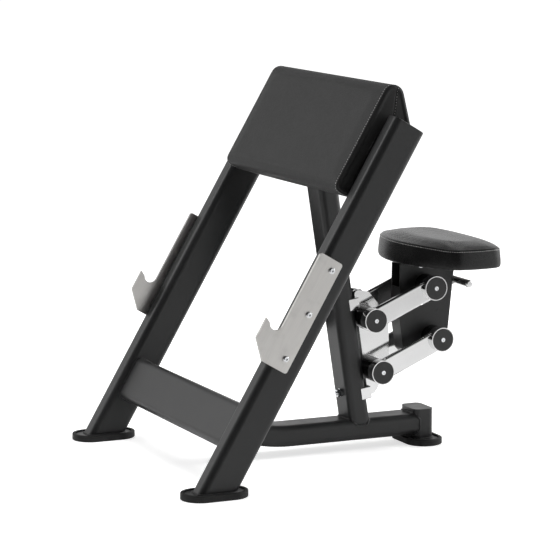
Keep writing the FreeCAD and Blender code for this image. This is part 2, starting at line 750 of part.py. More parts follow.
def arm(pivot):
    """A seat arm on the +X side: a flat oval tube shaped onto a wider barrel at each end."""
    ends = (Vector(), Vector(0, ARM_LENGTH, 0))
    inside = (ARM_INNER_X + ARM_WALL, ARM_FACE_X - ARM_WALL)
    hollow = arm_blank(ARM_HEIGHT - 2 * ARM_WALL, *inside, ARM_ROUND - ARM_WALL)
    body = arm_blank(ARM_HEIGHT, ARM_INNER_X, ARM_FACE_X, ARM_ROUND).cut(hollow)
    for end in ends:
        body = body.cut(disc(BARREL_RADIUS - ARM_WALL, ARM_INNER_X, ARM_OUTER_X, end))
    for end in ends:
        body = body.fuse(disc(BARREL_RADIUS, ARM_INNER_X, ARM_OUTER_X, end))
    for end in ends:
        body = body.cut(disc(BUSH_RADIUS, ARM_INNER_X - 1, ARM_OUTER_X + 1, end))
        body = body.cut(disc(CAP_RADIUS + CAP_CLEAR, CAP_INNER_X, ARM_OUTER_X + 1, end))
    body = body.removeSplitter()
    body.Placement = Placement(pivot, Rotation(ACROSS, ARM_ANGLE))
    return body


def arm_bush(pivot, clear):
    """The bearing bush in an arm's barrel, on the +X side."""
    return ring(BUSH_RADIUS, SHAFT_RADIUS + clear, ARM_INNER_X, CAP_INNER_X, pivot)


def from_pivot(points):
    """Outline points given from the upper rear pivot, as (Y, Z) places."""
    return [(UPPER_REAR_PIVOT.y + y, UPPER_REAR_PIVOT.z + z) for y, z in points]


def carriage_hollow():
    """The inside of the folded box, open at the back, the top and the bottom."""
    front = [(y + SHEET, z) for y, z in CARRIAGE_OUTLINE[:4]]
    far = 2 * CARRIAGE_OUTLINE[-1][0]
    points = [(front[0][0], 2 * CARRIAGE_TOP)] + front + [(front[-1][0], -far - 2 * CARRIAGE_TOP)]
    points += [(far, -far - 2 * CARRIAGE_TOP), (far, 2 * CARRIAGE_TOP)]
    return plate_from(from_pivot(points), SHEET - CARRIAGE_X, CARRIAGE_X - SHEET)


def carriage_shell():
    """The folded steel box that carries the seat, its front open above the arms."""
    points = from_pivot(CARRIAGE_OUTLINE)
    shell = plate_from(points, -CARRIAGE_X, CARRIAGE_X)
    for y, z in points[1:-1]:
        shell = shell.makeFillet(CARRIAGE_CORNER, edges_at(shell, Vector(0, y, z)))
    shell = shell.cut(carriage_hollow())
    front_y = UPPER_REAR_PIVOT.y + CARRIAGE_OUTLINE[1][0]
    low = Vector(SHEET - CARRIAGE_X, front_y - SHEET, UPPER_REAR_PIVOT.z + WINDOW_LOW)
    high = Vector(CARRIAGE_X - SHEET, front_y + 4 * SHEET, UPPER_REAR_PIVOT.z + 2 * CARRIAGE_TOP)
    shell = shell.cut(box_between(low, high))
    shell = shell.cut(disc(BUSH_RADIUS, -CARRIAGE_WIDTH, CARRIAGE_WIDTH, UPPER_REAR_PIVOT))
    shell = shell.cut(disc(SHAFT_RADIUS + RUN_CLEAR, -CARRIAGE_WIDTH, CARRIAGE_WIDTH, LOWER_REAR_PIVOT))
    return shell.cut(disc(PAWL_PIN_RADIUS + RUN_CLEAR, -CARRIAGE_WIDTH, CARRIAGE_WIDTH, pawl_pin_place()))


def carriage_bush(pivot):
    """The flanged bush of the upper rear shaft in the carriage's +X side."""
    sleeve = disc(BUSH_RADIUS, CARRIAGE_X - SHEET, CARRIAGE_X, pivot)
    flange = disc(BUSH_FLANGE_RADIUS, CARRIAGE_X - SHEET - BUSH_FLANGE, CARRIAGE_X - SHEET, pivot)
    bore = disc(SHAFT_RADIUS + RUN_CLEAR, 0, CARRIAGE_WIDTH, pivot)
    return sleeve.fuse(flange).removeSplitter().cut(bore)


def top_plate_ends():
    """The front and back of the top plate in Y, set in from the seat's front and back edges."""
    return SEAT_Y - SEAT_DEPTH / 2 + TOP_PLATE_FRONT, SEAT_Y + SEAT_DEPTH / 2 - TOP_PLATE_BACK


def seat_bolt_places():
    """Where the seat bolts stand, as (X, Y)."""
    front, back = top_plate_ends()
    rows = (front + SEAT_BOLT_INSET, back - SEAT_BOLT_INSET)
    return [(x, y) for x in (-SEAT_BOLT_X, SEAT_BOLT_X) for y in rows]


def drilled_for_seat(shape, low, high):
    """A piece with the seat bolts' holes through it between two heights."""
    for x, y in seat_bolt_places():
        shape = shape.cut(Part.makeCylinder(SCREW_RADIUS + HOLE_CLEAR, high - low, Vector(x, y, low)))
    return shape


def top_plate():
    """The flat plate on top of the carriage that the seat is bolted to."""
    front, back = top_plate_ends()
    low = Vector(-TOP_PLATE_WIDTH / 2, front, SEAT_BOTTOM - TOP_PLATE_THICK)
    high = Vector(TOP_PLATE_WIDTH / 2, back, SEAT_BOTTOM)
    return drilled_for_seat(box_between(low, high), low.z - 1, high.z + 1)


def bowed_side(start, bow, end):
    """Centre and radius of the arc through three points of one side."""
    circle = Part.Circle(start, bow, end)
    return circle.Center, circle.Radius


def smooth_corner(first, second, radius, corner):
    """Centre of the small arc, near a corner, that runs smoothly from one side arc into the next."""
    reach = first[1] - radius
    other = second[1] - radius
    gap = second[0] - first[0]
    along = (reach ** 2 - other ** 2 + gap.Length ** 2) / (2 * gap.Length)
    off = math.sqrt(reach ** 2 - along ** 2)
    unit = gap / gap.Length
    places = [first[0] + unit * along + unit.cross(UP) * off * sign for sign in (-1, 1)]
    return min(places, key=lambda place: (place - corner).Length)


def towards(centre, point, radius):
    """The point at a radius from a centre, in the direction of another point."""
    return centre + (point - centre).normalize() * radius


def seat_outline(scale, z):
    """The seat's outline at a height: bowed front, back and sides with round corners."""
    half_x = SEAT_WIDTH / 2
    half_y = SEAT_DEPTH / 2
    corner_x = half_x - SEAT_SIDE_BOW
    front = SEAT_FRONT_BOW - half_y
    back = half_y - SEAT_REAR_BOW
    middle = (front + back) / 2
    corners = [Vector(-corner_x, front), Vector(corner_x, front),
               Vector(corner_x, back), Vector(-corner_x, back)]
    bows = [Vector(0, -half_y), Vector(half_x, middle), Vector(0, half_y), Vector(-half_x, middle)]
    sides = [bowed_side(corners[k], bows[k], corners[(k + 1) % 4]) for k in range(4)]
    rounds = [smooth_corner(sides[k - 1], sides[k], SEAT_CORNER, corners[k]) for k in range(4)]
    points = []
    for k in range(4):
        points.append(towards(sides[k - 1][0], rounds[k], sides[k - 1][1]))
        points.append(towards(rounds[k], corners[k], SEAT_CORNER))
        points.append(towards(sides[k][0], rounds[k], sides[k][1]))
        points.append(bows[k])
    places = [point * scale + Vector(0, SEAT_Y, z) for point in points]
    edges = []
    for k in range(0, 16, 2):
        edges.append(Part.Arc(places[k], places[k + 1], places[(k + 2) % 16]).toShape())
    return Part.Wire(edges)


def seat_scale(inset):
    """The outline's scale for a margin all round."""
    return 1 - 2 * inset / SEAT_DEPTH


def seat_board():
    """The plywood board let into the underside of the seat."""
    outline = seat_outline(seat_scale(SEAT_BOARD_MARGIN), SEAT_BOTTOM)
    board = Part.Face(outline).extrude(UP * SEAT_BOARD_THICK)
    return drilled_for_seat(board, SEAT_BOTTOM - 1, SEAT_BOTTOM + SEAT_BOLT_REACH)


def seat_pad():
    """The seat cushion: bulging sides, drawn in at the seam, with a crowned top."""
    seam = SEAT_BOTTOM + SEAT_SIDE_HEIGHT
    sides = []
    crown = []
    for share in (0, 0.25, 0.5, 0.75, 1):
        inset = SEAT_DRAW - (SEAT_DRAW + SEAT_BULGE) * 4 * share * (1 - share)
        sides.append(seat_outline(seat_scale(inset), SEAT_BOTTOM + SEAT_SIDE_HEIGHT * share))
        inset = SEAT_DRAW + (SEAT_CROWN_INSET - SEAT_DRAW) * share ** 2
        rise = SEAT_CROWN * (1 - (1 - share ** 2) ** 2)
        crown.append(seat_outline(seat_scale(inset), seam + rise))
    cushion = Part.makeLoft(sides, True, False).fuse(Part.makeLoft(crown, True, True))
    board = Part.Face(seat_outline(seat_scale(SEAT_BOARD_MARGIN - SEAT_GAP), SEAT_BOTTOM - 1))
    return cushion.cut(board.extrude(UP * (SEAT_BOARD_THICK + 1 + SEAT_GAP)))


def seat_bolts():
    """The bolts from under the top plate into the seat board."""
    bolts = []
    for x, y in seat_bolt_places():
        seat = Vector(x, y, SEAT_BOTTOM - TOP_PLATE_THICK)
        bolts.append(button_screw(seat, UP * -1, TOP_PLATE_THICK + SEAT_BOLT_REACH - 1))
    return group(bolts)


def pawl_pin_place():
    """The axis of the pawl and its handle."""
    return UPPER_REAR_PIVOT + Vector(0, *PAWL_PIN)


def tooth_angle():
    """The direction from the upper rear pivot to the pawl's tooth, which moves straight in and out."""
    away = math.hypot(*PAWL_PIN)
    return math.degrees(math.atan2(PAWL_PIN[1], PAWL_PIN[0]) + math.acos(SECTOR_RADIUS / away))


def tooth_shape(tip, base, reach, root, angle, thick):
    """A tapered bar that points at the upper rear pivot, its tip and its root given as radii."""
    points = ((reach, -tip / 2), (reach, tip / 2), (root, base / 2), (root, -base / 2))
    bar = plate_from(points, -thick / 2, thick / 2)
    bar.Placement = Placement(UPPER_REAR_PIVOT, Rotation(ACROSS, angle))
    return bar


def lock_sector():
    """The toothed sector that turns with the upper arms inside the carriage."""
    half = SECTOR_THICK / 2
    wheel = disc(SECTOR_RADIUS, -half, half, UPPER_REAR_PIVOT)
    far = 2 * SECTOR_RADIUS
    wedge = [(0, 0)]
    for angle in (SECTOR_FROM, 0, SECTOR_TO):
        wedge.append((far * math.cos(math.radians(angle)), far * math.sin(math.radians(angle))))
    sector = wheel.common(plate_from(from_pivot(wedge), -half, half))
    sector = sector.fuse(disc(SECTOR_HUB_RADIUS, -half, half, UPPER_REAR_PIVOT)).removeSplitter()
    middle = tooth_angle()
    first = math.ceil((SECTOR_FROM - middle) / TOOTH_PITCH + 0.5)
    last = math.floor((SECTOR_TO - middle) / TOOTH_PITCH - 0.5)
    for k in range(first, last + 1):
        angle = middle + k * TOOTH_PITCH
        root = SECTOR_RADIUS - TOOTH_GAP_DEPTH
        gap = tooth_shape(TOOTH_GAP_ROOT, TOOTH_GAP_RIM, root, SECTOR_RADIUS + 1, angle, 2 * SECTOR_THICK)
        sector = sector.cut(gap)
    return sector.cut(disc(SHAFT_RADIUS + RUN_CLEAR, -SECTOR_THICK, SECTOR_THICK, UPPER_REAR_PIVOT))


def handle_place():
    """The axis of the release handle."""
    return UPPER_REAR_PIVOT + Vector(0, *HANDLE_AT)


def lock_pawl():
    """The cranked lever with the locking tooth, carrying the release handle."""
    half = PAWL_THICK / 2
    pin = pawl_pin_place()
    handle = handle_place()
    angle = tooth_angle()
    tip_radius = SECTOR_RADIUS + PAWL_REST_CLEAR
    clear_radius = SECTOR_RADIUS + PAWL_CLEAR
    knee = UPPER_REAR_PIVOT + Rotation(ACROSS, angle).multVec(ALONG * (tip_radius + TOOTH_LENGTH))
    wide = Vector(0, PAWL_ARM, 0)
    rise = UP * PAWL_ARM / 2
    stem = [pin - wide / 2, pin + wide / 2, knee + wide, knee + wide + rise, knee + rise, knee - rise]
    body = plate_from([(p.y, p.z) for p in stem], -half, half)
    reach = [knee - rise, handle - rise, handle + rise, knee + rise]
    body = body.fuse(plate_from([(p.y, p.z) for p in reach], -half, half))
    body = body.fuse(disc(PAWL_BOSS_RADIUS, -half, half, pin))
    body = body.cut(disc(clear_radius, -PAWL_THICK, PAWL_THICK, UPPER_REAR_PIVOT))
    tooth = tooth_shape(TOOTH_TIP, TOOTH_BASE, tip_radius, tip_radius + TOOTH_LENGTH, angle, PAWL_THICK)
    body = body.fuse(tooth).removeSplitter()
    body = body.cut(disc(PAWL_PIN_RADIUS + RUN_CLEAR, -PAWL_THICK, PAWL_THICK, pin))
    return body.cut(disc(HANDLE_RADIUS, -PAWL_THICK, PAWL_THICK, handle))


def release_handle():
    """The bright cross rod under the back of the seat."""
    rod = disc(HANDLE_RADIUS, -HANDLE_LENGTH / 2, HANDLE_LENGTH / 2, handle_place())
    rims = [edge for edge in rod.Edges if edge.Closed]
    return rod.makeFillet(HANDLE_ROUND, rims)


def pawl_pin():
    """The pin through both sides of the carriage that the pawl turns on."""
    half = CARRIAGE_X + PAWL_PIN_PROUD
    return disc(PAWL_PIN_RADIUS, -half, half, pawl_pin_place())


def pawl_spring():
    """The leaf spring from the inside of the carriage's front to the pawl."""
    pin = pawl_pin_place()
    low_y, low_z = CARRIAGE_OUTLINE[1]
    bend_y, bend_z = CARRIAGE_OUTLINE[2]
    foot = Vector(0, UPPER_REAR_PIVOT.y + low_y + SHEET, UPPER_REAR_PIVOT.z + LEAF_TOP - LEAF_THICK)
    lean = (bend_y - low_y) / (bend_z - low_z)
    base_z = foot.z - LEAF_FOOT
    wall = foot.y + lean * (foot.z - UPPER_REAR_PIVOT.z - low_z)
    base = wall - lean * LEAF_FOOT
    tip_y = pin.y - PAWL_BOSS_RADIUS - LEAF_GAP
    points = [(base, base_z), (base + LEAF_THICK, base_z), (wall + LEAF_THICK, foot.z - LEAF_THICK),
              (tip_y, pin.z - LEAF_THICK), (tip_y, pin.z), (wall, foot.z)]
    return plate_from(points, -LEAF_WIDTH / 2, LEAF_WIDTH / 2)


def save_frame():
    """Tubes, plates and feet."""
    left = post()
    save("left_post", left)
    save("right_post", mirrored(left))
    save("post_end_caps", group(both_sides(post_cap())))
    save("front_crossbeam", front_crossbeam())
    save("upper_crossbeam", upper_crossbeam())
    save("base_beam", base_beam())
    save("seat_column", seat_column())
    save("rear_column", rear_column())
    save("rear_column_cap", rear_column_cap())
    places = (("left", False, POST_X, FRONT_FOOT_Y), ("right", False, -POST_X, FRONT_FOOT_Y),
              ("rear", True, 0, REAR_FOOT_Y))
    for name, turned, x, y in places:
        save(name + "_rubber_foot", moved(rubber_foot(turned), x, y))
        save(name + "_foot_plate", moved(foot_plate(turned), x, y))


def save_pad_and_hooks():
    """The arm pad with its board, and the bar hooks."""
    save("arm_pad", arm_pad())
    save("pad_board", pad_board())
    save("pad_bolts", pad_bolts())
    left = bar_hook()
    save("left_bar_hook", left)
    save("right_bar_hook", mirrored(left))
    save("hook_screws", hook_screws())


def save_bracket():
    """The bracket on the seat column and its bolts."""
    left = bracket_cheek()
    save("left_bracket_cheek", left)
    save("right_bracket_cheek", mirrored(left))
    save("bracket_back_plate", bracket_back_plate())
    save("upper_saddle", saddle(UPPER_SADDLE_AT, UPPER_BOLT_AT))
    save("lower_saddle", saddle(LOWER_SADDLE_AT, LOWER_BOLT_AT))
    for name, maker in (("bolts", bracket_bolt), ("nuts", bracket_nut), ("washers", bracket_washer)):
        save("bracket_" + name, group([maker(along) for along in (UPPER_BOLT_AT, LOWER_BOLT_AT)]))


def save_arms():
    """The four parallel arms with their shafts, sleeves and caps."""
    fronts = (UPPER_FRONT_PIVOT, LOWER_FRONT_PIVOT)
    shafts = (("upper_front", UPPER_FRONT_PIVOT), ("lower_front", LOWER_FRONT_PIVOT),
              ("upper_rear", UPPER_REAR_PIVOT), ("lower_rear", LOWER_REAR_PIVOT))
    for name, pivot in shafts:
        save(name + "_shaft", pivot_shaft(pivot))
    for name, pivot in (("upper", UPPER_FRONT_PIVOT), ("lower", LOWER_FRONT_PIVOT)):
        left = arm(pivot)
        save("left_" + name + "_arm", left)
        save("right_" + name + "_arm", mirrored(left))
    ends = (("front", fronts), ("upper_rear", [UPPER_REAR_PIVOT]), ("lower_rear", [LOWER_REAR_PIVOT]))
    for name, pivots in ends:
        save(name + "_pivot_caps", on_pivots(pivot_cap, pivots))
        save(name + "_cap_screws", on_pivots(cap_screw, pivots))
    fixed_end = ARM_INNER_X - SPACER_GAP
    turning = CARRIAGE_X + SPACER_GAP
    save("front_spacers", on_pivots(lambda pivot: spacer(pivot, CHEEK_X, fixed_end), fronts))
    save("lower_rear_spacers", group(both_sides(spacer(LOWER_REAR_PIVOT, CARRIAGE_X, fixed_end))))
    save("upper_rear_spacers", group(both_sides(spacer(UPPER_REAR_PIVOT, turning, ARM_INNER_X))))
    uppers = (UPPER_FRONT_PIVOT, UPPER_REAR_PIVOT)
    save("upper_arm_bushes", on_pivots(lambda pivot: arm_bush(pivot, RUN_CLEAR), uppers))
    lower = both_sides(arm_bush(LOWER_FRONT_PIVOT, RUN_CLEAR))
    lower += both_sides(arm_bush(LOWER_REAR_PIVOT, OPEN_PIVOT_CLEAR))
    save("lower_arm_bushes", group(lower))


def save_seat():
    """The carriage, the seat and the height lock."""
    save("carriage_shell", carriage_shell())
    save("carriage_bushes", group(both_sides(carriage_bush(UPPER_REAR_PIVOT))))
    save("carriage_top_plate", top_plate())
    save("seat_board", seat_board())
    save("seat_pad", seat_pad())
    save("seat_bolts", seat_bolts())
    save("lock_sector", lock_sector())
    save("lock_pawl", lock_pawl())
    save("pawl_pin", pawl_pin())
    save("pawl_spring", pawl_spring())
    save("release_handle", release_handle())


os.makedirs("parts", exist_ok=True)
save_frame()
save_pad_and_hooks()
save_bracket()
save_arms()
save_seat()
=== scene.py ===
import json
import math

import bmesh
import bpy
import numpy as np
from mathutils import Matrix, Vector
from mathutils.bvhtree import BVHTree
from mathutils.kdtree import KDTree


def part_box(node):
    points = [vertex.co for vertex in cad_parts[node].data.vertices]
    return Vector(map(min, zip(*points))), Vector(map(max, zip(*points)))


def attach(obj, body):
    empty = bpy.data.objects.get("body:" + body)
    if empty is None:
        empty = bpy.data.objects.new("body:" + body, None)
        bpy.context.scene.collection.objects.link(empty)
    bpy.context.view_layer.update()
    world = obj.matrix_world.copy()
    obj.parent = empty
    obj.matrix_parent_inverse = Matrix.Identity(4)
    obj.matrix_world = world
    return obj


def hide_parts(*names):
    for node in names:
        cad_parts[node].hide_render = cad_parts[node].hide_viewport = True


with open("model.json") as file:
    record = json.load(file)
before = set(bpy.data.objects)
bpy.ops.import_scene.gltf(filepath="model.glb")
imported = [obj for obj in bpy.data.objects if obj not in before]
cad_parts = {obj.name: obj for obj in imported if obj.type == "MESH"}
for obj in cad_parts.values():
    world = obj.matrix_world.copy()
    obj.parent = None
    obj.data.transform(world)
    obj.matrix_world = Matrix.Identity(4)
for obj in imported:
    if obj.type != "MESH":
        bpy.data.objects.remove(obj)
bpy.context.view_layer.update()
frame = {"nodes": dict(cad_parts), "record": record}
nodes = frame["nodes"]
scene = bpy.context.scene

# Layout of the bench in metres. X is the width, the seat is on the +Y side, Z is up.
MM = 0.001
MIDDLE_Y = 0.3755513
POST_SLOPE = math.radians(59.5)
SLOPE_UP = Vector((0, math.cos(POST_SLOPE), math.sin(POST_SLOPE)))
SLOPE_BACK = Vector((0, math.sin(POST_SLOPE), -math.cos(POST_SLOPE)))
COLUMN_LEAN = math.radians(8.6)
COLUMN_UP = Vector((0, -math.sin(COLUMN_LEAN), math.cos(COLUMN_LEAN)))
COLUMN_BACK = Vector((0, math.cos(COLUMN_LEAN), math.sin(COLUMN_LEAN)))
COLUMN_FOOT = Vector((0, 0.5117 - MIDDLE_Y, 0))
ACROSS = Vector((1, 0, 0))
ALONG = Vector((0, 1, 0))
UP = Vector((0, 0, 1))


def on_slope(x, back, up):
    """A point given in millimetres across the bench, behind the posts' axes and up their slope."""
    return (ACROSS * x + SLOPE_BACK * back + SLOPE_UP * up) * MM - ALONG * MIDDLE_Y


def on_column(x, behind, along):
    """A point given in millimetres across the bench, behind the seat column's axis and up it."""
    return COLUMN_FOOT + (ACROSS * x + COLUMN_BACK * behind + COLUMN_UP * along) * MM


def on_floor(x, y, z):
    """A point given in millimetres from where the posts' axes meet the floor."""
    return Vector((x, y, z)) * MM - ALONG * MIDDLE_Y


class Field:
    """A value that varies over a surface. Sums and products of it add Math nodes."""

    def __init__(self, finish, socket):
        self.finish = finish
        self.socket = socket

    def math(self, operation, *terms):
        return self.finish.node("ShaderNodeMath", {"operation": operation}, dict(enumerate(terms)))

    def __add__(self, other):
        return self.math("ADD", self, other)

    def __sub__(self, other):
        return self.math("SUBTRACT", self, other)

    def __rsub__(self, other):
        return self.math("SUBTRACT", other, self)

    def __mul__(self, other):
        return self.math("MULTIPLY", self, other)

    __radd__ = __add__
    __rmul__ = __mul__


class Finish:
    """One material. A number that is the same all over goes on the shader's own socket."""

    def __init__(self, name, fixed):
        self.material = bpy.data.materials.new(name)
        self.material.use_nodes = True
        self.nodes = self.material.node_tree.nodes
        self.links = self.material.node_tree.links
        self.shader = self.nodes["Principled BSDF"]
        for socket, value in fixed.items():
            self.shader.inputs[socket].default_value = value

    def node(self, kind, settings, inputs, output=0):
        """A new node: its settings first, then the values or links of its sockets."""
        made = self.nodes.new(kind)
        for key, value in settings.items():
            setattr(made, key, value)
        for key, value in inputs.items():
            self.feed(made.inputs[key], value)
        return Field(self, made.outputs[output])

    def feed(self, socket, value):
        """Link a varying value to a socket, or set a fixed one on it."""
        if isinstance(value, Field):
            self.links.new(value.socket, socket)
        else:
            socket.default_value = value

    def set(self, socket, value):
        """What one of the shader's own sockets takes."""
        self.feed(self.shader.inputs[socket], value)

    def place(self):
        """Where a point of the surface is, in metres."""
        return self.node("ShaderNodeTexCoord", {}, {}, "Object")

    def facing(self, direction):
        """How far the surface faces a direction, from -1 to 1."""
        normal = self.node("ShaderNodeTexCoord", {}, {}, "Normal")
        return self.node("ShaderNodeVectorMath", {"operation": "DOT_PRODUCT"},
                         {0: normal, 1: direction}, "Value")

    def run(self, direction):
        """How far along a direction a point lies, in metres."""
        return self.node("ShaderNodeVectorMath", {"operation": "DOT_PRODUCT"},
                         {0: self.place(), 1: direction}, "Value")

    def noise(self, size, detail=3.0, where=None):
        """Soft random values with lumps of about a size in metres."""
        return self.node("ShaderNodeTexNoise", {}, {"Vector": where or self.place(), "Scale": 1 / size,
                                                    "Detail": detail})

    def cells(self, size, where=None, feature="F1"):
        """Distance to the nearest of scattered points about a size apart, in cell widths."""
        return self.node("ShaderNodeTexVoronoi", {"feature": feature},
                         {"Vector": where or self.place(), "Scale": 1 / size})

    def stretched(self, across, back, along, directions):
        """Coordinates for a grain: lengths in metres of one lump along three directions."""
        runs = [self.run(d) * (1 / size) for d, size in zip(directions, (across, back, along))]
        return self.node("ShaderNodeCombineXYZ", {}, dict(enumerate(runs)))

    def fit(self, value, low, high, to_low=0.0, to_high=1.0):
        """A value spread from one range to another and kept inside it."""
        return self.node("ShaderNodeMapRange", {}, {"Value": value, "From Min": low, "From Max": high,
                                                    "To Min": to_low, "To Max": to_high})

    def blend(self, share, first, second):
        """A colour between two others."""
        return self.node("ShaderNodeMix", {"data_type": "RGBA"}, {0: share, 6: first, 7: second}, 2)

    def bump(self, height, depth, strength=1.0):
        """Let a height, as a share of a depth in metres, tilt the surface."""
        self.set("Normal", self.node("ShaderNodeBump", {}, {"Height": height, "Distance": depth,
                                                            "Strength": strength}))


def grey(level, warm=0.0):
    """A neutral colour, with a little warmth or, below zero, coolness."""
    return (level * (1 + warm), level, level * (1 - warm), 1.0)


SLOPE_AXES = (ACROSS, SLOPE_BACK, SLOPE_UP)


def powder_coat(name, level, rough):
    """Satin black powder coat: a fine orange peel, faint cloudiness, and upward faces painted paler as
    settled dust and as painted top light.
    """
    coat = Finish(name, {"IOR": 1.5})
    clouds = coat.noise(0.11, 4)
    peel = coat.noise(0.0021, 2)
    # Upward faces are painted paler in patches: partly settled dust, partly painted top light.
    dust_and_top_light = coat.fit(coat.facing(UP), 0.75, 1.0) * coat.fit(coat.noise(0.03, 5), 0.35, 0.75)
    paint = coat.blend(clouds, grey(level * 0.82, -0.02), grey(level * 1.18, -0.02))
    coat.set("Base Color", coat.blend(dust_and_top_light * 0.22, paint, grey(0.16, 0.02)))
    coat.set("Roughness", coat.fit(clouds, 0.3, 0.7, rough - 0.03, rough + 0.04) + dust_and_top_light * 0.1)
    coat.bump(peel + coat.noise(0.0007, 2) * 0.4, 0.00022, 0.35)
    return coat.material


def moulded_rubber():
    """Black foot rubber: matte, finely pitted and scuffed paler at its lower rim."""
    rubber = Finish("moulded rubber", {"IOR": 1.45})
    scuff = rubber.fit(rubber.run(UP), 0.009, 0.0) * rubber.fit(rubber.noise(0.012, 5), 0.45, 0.7)
    rubber.set("Base Color", rubber.blend(scuff * 0.5, grey(0.013), grey(0.06, 0.03)))
    rubber.set("Roughness", rubber.fit(rubber.noise(0.02, 4), 0.3, 0.7, 0.55, 0.72))
    rubber.bump(rubber.noise(0.0012, 3), 0.0003, 0.5)
    return rubber.material


def grained_vinyl(name, level, rough, gloss):
    """Pad cover: charcoal vinyl with a leather grain of small pebbles and finer creases."""
    cover = Finish(name, {"IOR": gloss})
    warp = cover.node("ShaderNodeTexNoise", {}, {"Vector": cover.place(), "Scale": 210.0, "Detail": 2.0},
                      "Color")
    moved = cover.node("ShaderNodeVectorMath", {"operation": "MULTIPLY_ADD"},
                       {0: warp, 1: (0.0022, 0.0022, 0.0022), 2: cover.place()})
    pebbles = cover.fit(cover.cells(0.0021, moved, "DISTANCE_TO_EDGE"), 0.0, 0.22)
    fine = cover.fit(cover.cells(0.0008, moved), 0.1, 0.8)
    height = pebbles * 0.75 + fine * 0.25
    shade = cover.fit(cover.noise(0.09, 4), 0.3, 0.7)
    deep = cover.blend(pebbles, grey(level * 0.72), grey(level * 1.05))
    pale = cover.blend(pebbles, grey(level * 0.85), grey(level * 1.2))
    cover.set("Base Color", cover.blend(shade, deep, pale))
    cover.set("Roughness", rough + 0.1 * (1 - pebbles) + 0.06 * cover.noise(0.02, 3))
    cover.bump(height, 0.00022, 0.5)
    return cover.material


def sewing_thread():
    """Pale polyester thread with a twist."""
    thread = Finish("sewing thread", {"Sheen Weight": 0.3})
    twist = thread.noise(0.0006, 2)
    thread.set("Base Color", thread.blend(twist, grey(0.38, 0.01), grey(0.62, 0.01)))
    thread.set("Roughness", 0.6 + 0.2 * twist)
    thread.bump(twist, 0.0002, 0.6)
    return thread.material


def plywood():
    """Plywood stained black, its long grain still showing."""
    ply = Finish("stained plywood", {"IOR": 1.45})
    grain = ply.noise(1.0, 4, ply.stretched(0.12, 0.004, 0.004, (ACROSS, ALONG, UP)))
    pores = ply.noise(1.0, 2, ply.stretched(0.02, 0.0012, 0.0012, (ACROSS, ALONG, UP)))
    wood = ply.blend(grain, (0.018, 0.016, 0.014, 1), (0.042, 0.037, 0.033, 1))
    ply.set("Base Color", ply.blend(ply.fit(pores, 0.55, 0.7) * 0.5, wood, (0.008, 0.007, 0.006, 1)))
    ply.set("Roughness", 0.6 + 0.2 * pores)
    ply.bump(grain + pores * 0.6, 0.0003, 0.4)
    return ply.material


def brushed_stainless():
    """Hook plates: stainless steel with fine brushing along the posts and a few handling marks."""
    plate = Finish("brushed stainless", {"Metallic": 1.0, "Anisotropic": 0.4})
    brush = plate.noise(1.0, 3, plate.stretched(0.0005, 0.0005, 0.03, SLOPE_AXES))
    broad = plate.noise(1.0, 3, plate.stretched(0.01, 0.01, 0.12, SLOPE_AXES))
    marks = plate.fit(plate.noise(0.03, 5), 0.55, 0.75)
    metal = plate.blend(brush * 0.6 + broad * 0.4, (0.60, 0.585, 0.565, 1), (0.84, 0.825, 0.80, 1))
    plate.set("Base Color", plate.blend(marks * 0.25, metal, (0.5, 0.49, 0.475, 1)))
    plate.set("Roughness", plate.fit(brush, 0.3, 0.7, 0.3, 0.44) + marks * 0.06)
    plate.bump(brush, 0.00008, 0.35)
    return plate.material


def bright_metal(name, dark, light, smooth, cloud):
    """A plated or oiled metal: its colour and gloss drift a little over the surface."""
    metal = Finish(name, {"Metallic": 1.0})
    drift = metal.noise(cloud, 4)
    fine = metal.noise(0.0016, 3)
    metal.set("Base Color", metal.blend(drift, dark, light))
    metal.set("Roughness", metal.fit(drift, 0.3, 0.7, smooth, smooth + 0.06) + fine * 0.03)
    metal.bump(fine, 0.00004, 0.15)
    return metal.material


def black_plastic(name, level, rough, grain):
    """Moulded or enamelled black pieces with a fine grain."""
    black = Finish(name, {"IOR": 1.5})
    speckle = black.noise(0.0012, 3)
    drift = black.noise(0.02, 4)
    black.set("Base Color", black.blend(speckle * 0.6 + drift * 0.4, grey(level * 0.7), grey(level * 1.3)))
    black.set("Roughness", black.fit(drift, 0.3, 0.7, rough - 0.03, rough + 0.05))
    black.bump(speckle, grain, 0.4)
    return black.material


finishes = {
    "frame_paint": powder_coat("frame powder coat", 0.022, 0.36),
    "carriage_paint": powder_coat("carriage powder coat", 0.017, 0.38),
    "foot_rubber": moulded_rubber(),
    "pad_cover": grained_vinyl("grained vinyl", 0.017, 0.48, 1.44),
    "plywood": plywood(),
    "hook_steel": brushed_stainless(),
    "fastener_zinc": bright_metal("bright zinc", (0.80, 0.82, 0.84, 1), (0.92, 0.93, 0.94, 1), 0.16, 0.006),
    "chrome": bright_metal("polished chrome", grey(0.76), grey(0.86), 0.05, 0.05),
    "sleeve_black": black_plastic("gloss black enamel", 0.012, 0.16, 0.00003),
    "cap_black": black_plastic("matte cap", 0.03, 0.5, 0.00012),
    "bare_steel": bright_metal("oiled steel", grey(0.36), grey(0.46), 0.28, 0.02),
    "bush_bronze": bright_metal("sintered bronze", (0.40, 0.27, 0.12, 1), (0.55, 0.39, 0.19, 1),
                                0.38, 0.004),
}
thread_finish = sewing_thread()
# The seat's copy of the pad vinyl is smoother and glossier, and its colour is darker than the pad's as
# painted shade.
seat_vinyl_with_painted_shade = grained_vinyl("smooth vinyl with painted shade", 0.007, 0.24, 1.5)

for subpart in frame["record"]["subparts"]:
    surfaces = nodes[subpart["node"]].data.materials
    surfaces.clear()
    surfaces.append(finishes[subpart["material_slot"]])


def new_piece(name, form, material, body):
    """A finished mesh as a piece of its own on a body."""
    mesh = bpy.data.meshes.new(name)
    form.to_mesh(mesh)
    form.free()
    mesh.shade_smooth()
    mesh.materials.append(material)
    piece = bpy.data.objects.new(name, mesh)
    scene.collection.objects.link(piece)
    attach(piece, body)
    return piece


